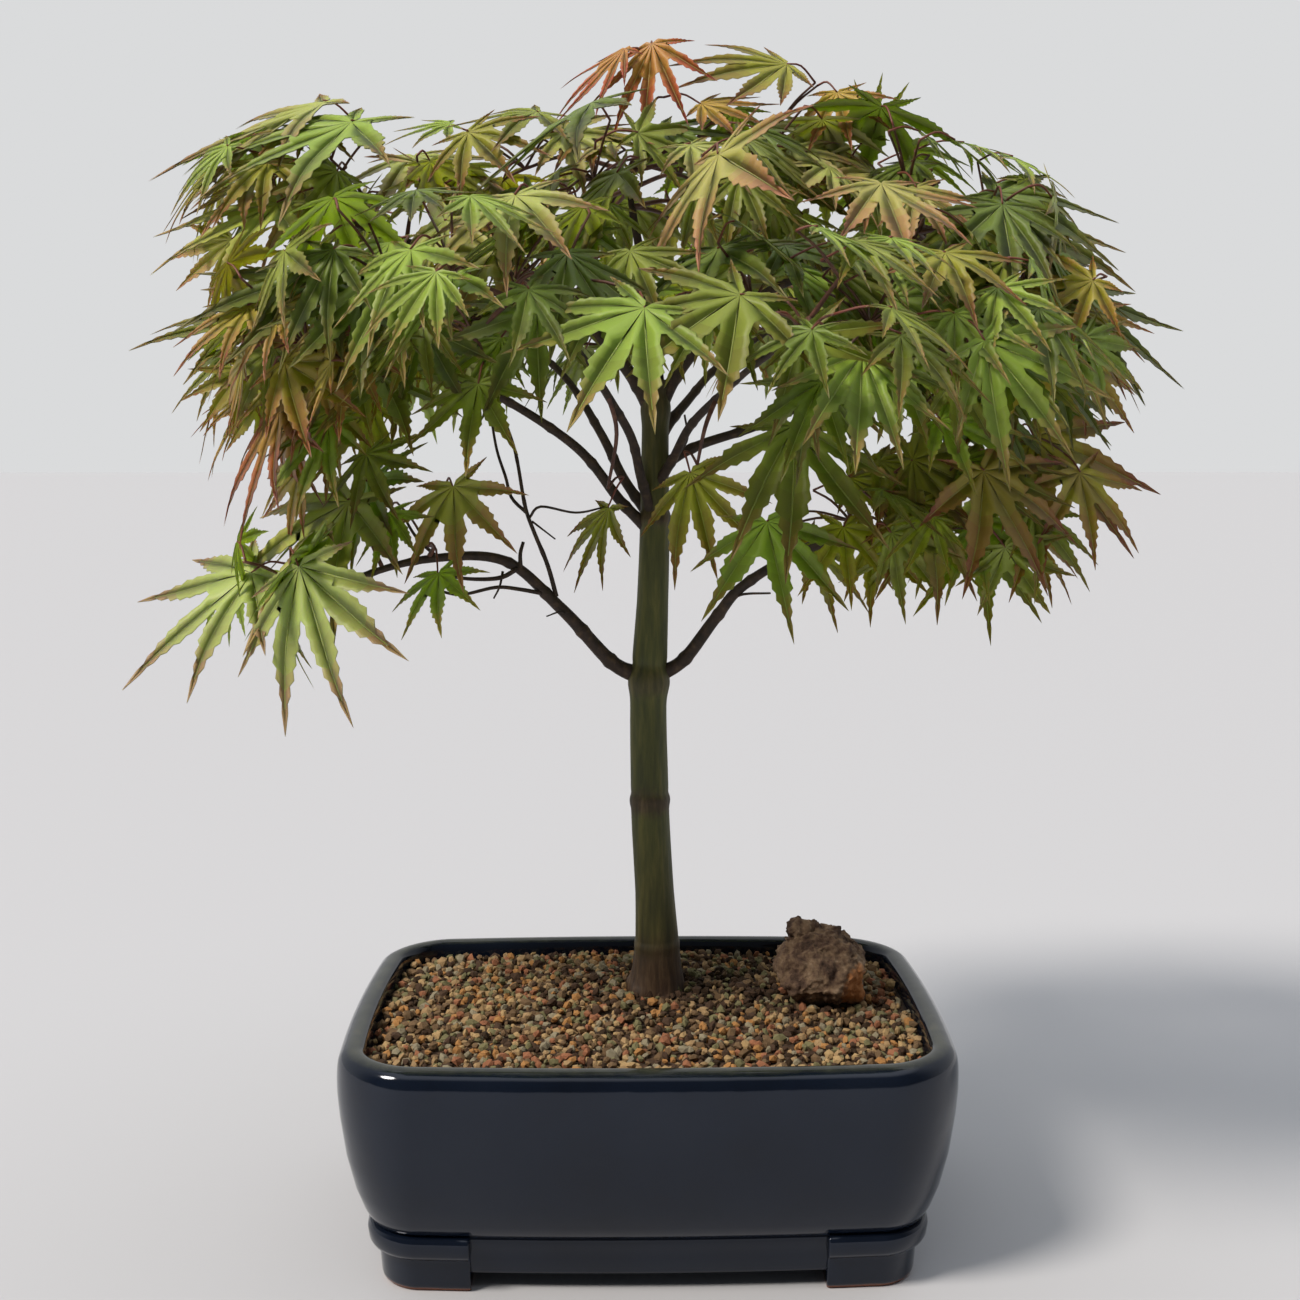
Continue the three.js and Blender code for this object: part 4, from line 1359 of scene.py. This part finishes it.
# floor, light and air: a pale studio, lit from above and behind on the left, dimmer behind the camera

studio = {
    "floorSize": 24,  # metres
    "floorColour": "#c0c3ca",
    "airColour": "#eeeff0",
    "shownStrength": 0.82,  # the air as it is seen
    "backStrength": 0.62,  # and as it lights
    "frontStrength": 0.1,
    "frontToBack": (-0.5, 0.25),  # where it changes, as a direction's Y
    "zenithStrength": 1.3,
    "zenithEdge": (0.68, 0.92),  # as a direction's Z
    "sunPlace": (-1.7, -1.0, 2.1),
    "sunStrength": 3.2,
    "sunSpread": 16,  # degrees
    "sunColour": "#fff4e6",
}


def addSun():
    deselectAll()
    bpy.ops.object.light_add(type="SUN", location=studio["sunPlace"])
    lamp = bpy.context.object
    lamp.name = "softSun"
    lamp.data.energy = studio["sunStrength"]
    lamp.data.angle = math.radians(studio["sunSpread"])
    lamp.data.color = linear(studio["sunColour"])[:3]
    lamp.rotation_euler = (-Vector(studio["sunPlace"])).to_track_quat("-Z", "Y").to_euler()


def makeAir():
    world = bpy.data.worlds.new("paleAir")
    world.use_nodes = True
    tree = world.node_tree
    direction = addNode(tree, "ShaderNodeTexCoord", {}).outputs["Generated"]
    split = addNode(tree, "ShaderNodeSeparateXYZ", {"Vector": direction})
    rises = []
    for axis, (start, end), (low, high) in (
        ("Y", studio["frontToBack"], (studio["frontStrength"], studio["backStrength"])),
        ("Z", studio["zenithEdge"], (0.0, studio["zenithStrength"])),
    ):
        rises.append(addNode(tree, "ShaderNodeMapRange", {
            "Value": split.outputs[axis], "From Min": start, "From Max": end, "To Min": low, "To Max": high,
        }, interpolation_type="SMOOTHSTEP"))
    lighting = addNode(tree, "ShaderNodeMath", {0: rises[0], 1: rises[1]}, operation="MAXIMUM")
    seen = addNode(tree, "ShaderNodeLightPath", {}).outputs["Is Camera Ray"]
    strength = addNode(tree, "ShaderNodeMix", {
        "Factor": seen, "A": lighting, "B": studio["shownStrength"]})
    setInputs(tree, tree.nodes["Background"], {"Color": linear(studio["airColour"]), "Strength": strength})
    bpy.context.scene.world = world


def makeStudio():
    deselectAll()
    bpy.ops.mesh.primitive_plane_add(size=studio["floorSize"])
    floor = bpy.context.object
    floor.name = "studio_floor"
    paint = newMaterial("palePaintedFloor", {"Base Color": linear(studio["floorColour"]), "Roughness": 0.7})
    floor.data.materials.append(paint[0])
    makeAir()
    addSun()


makeStudio()
bpy.context.scene.view_settings.view_transform = "Standard"
print("studio made")
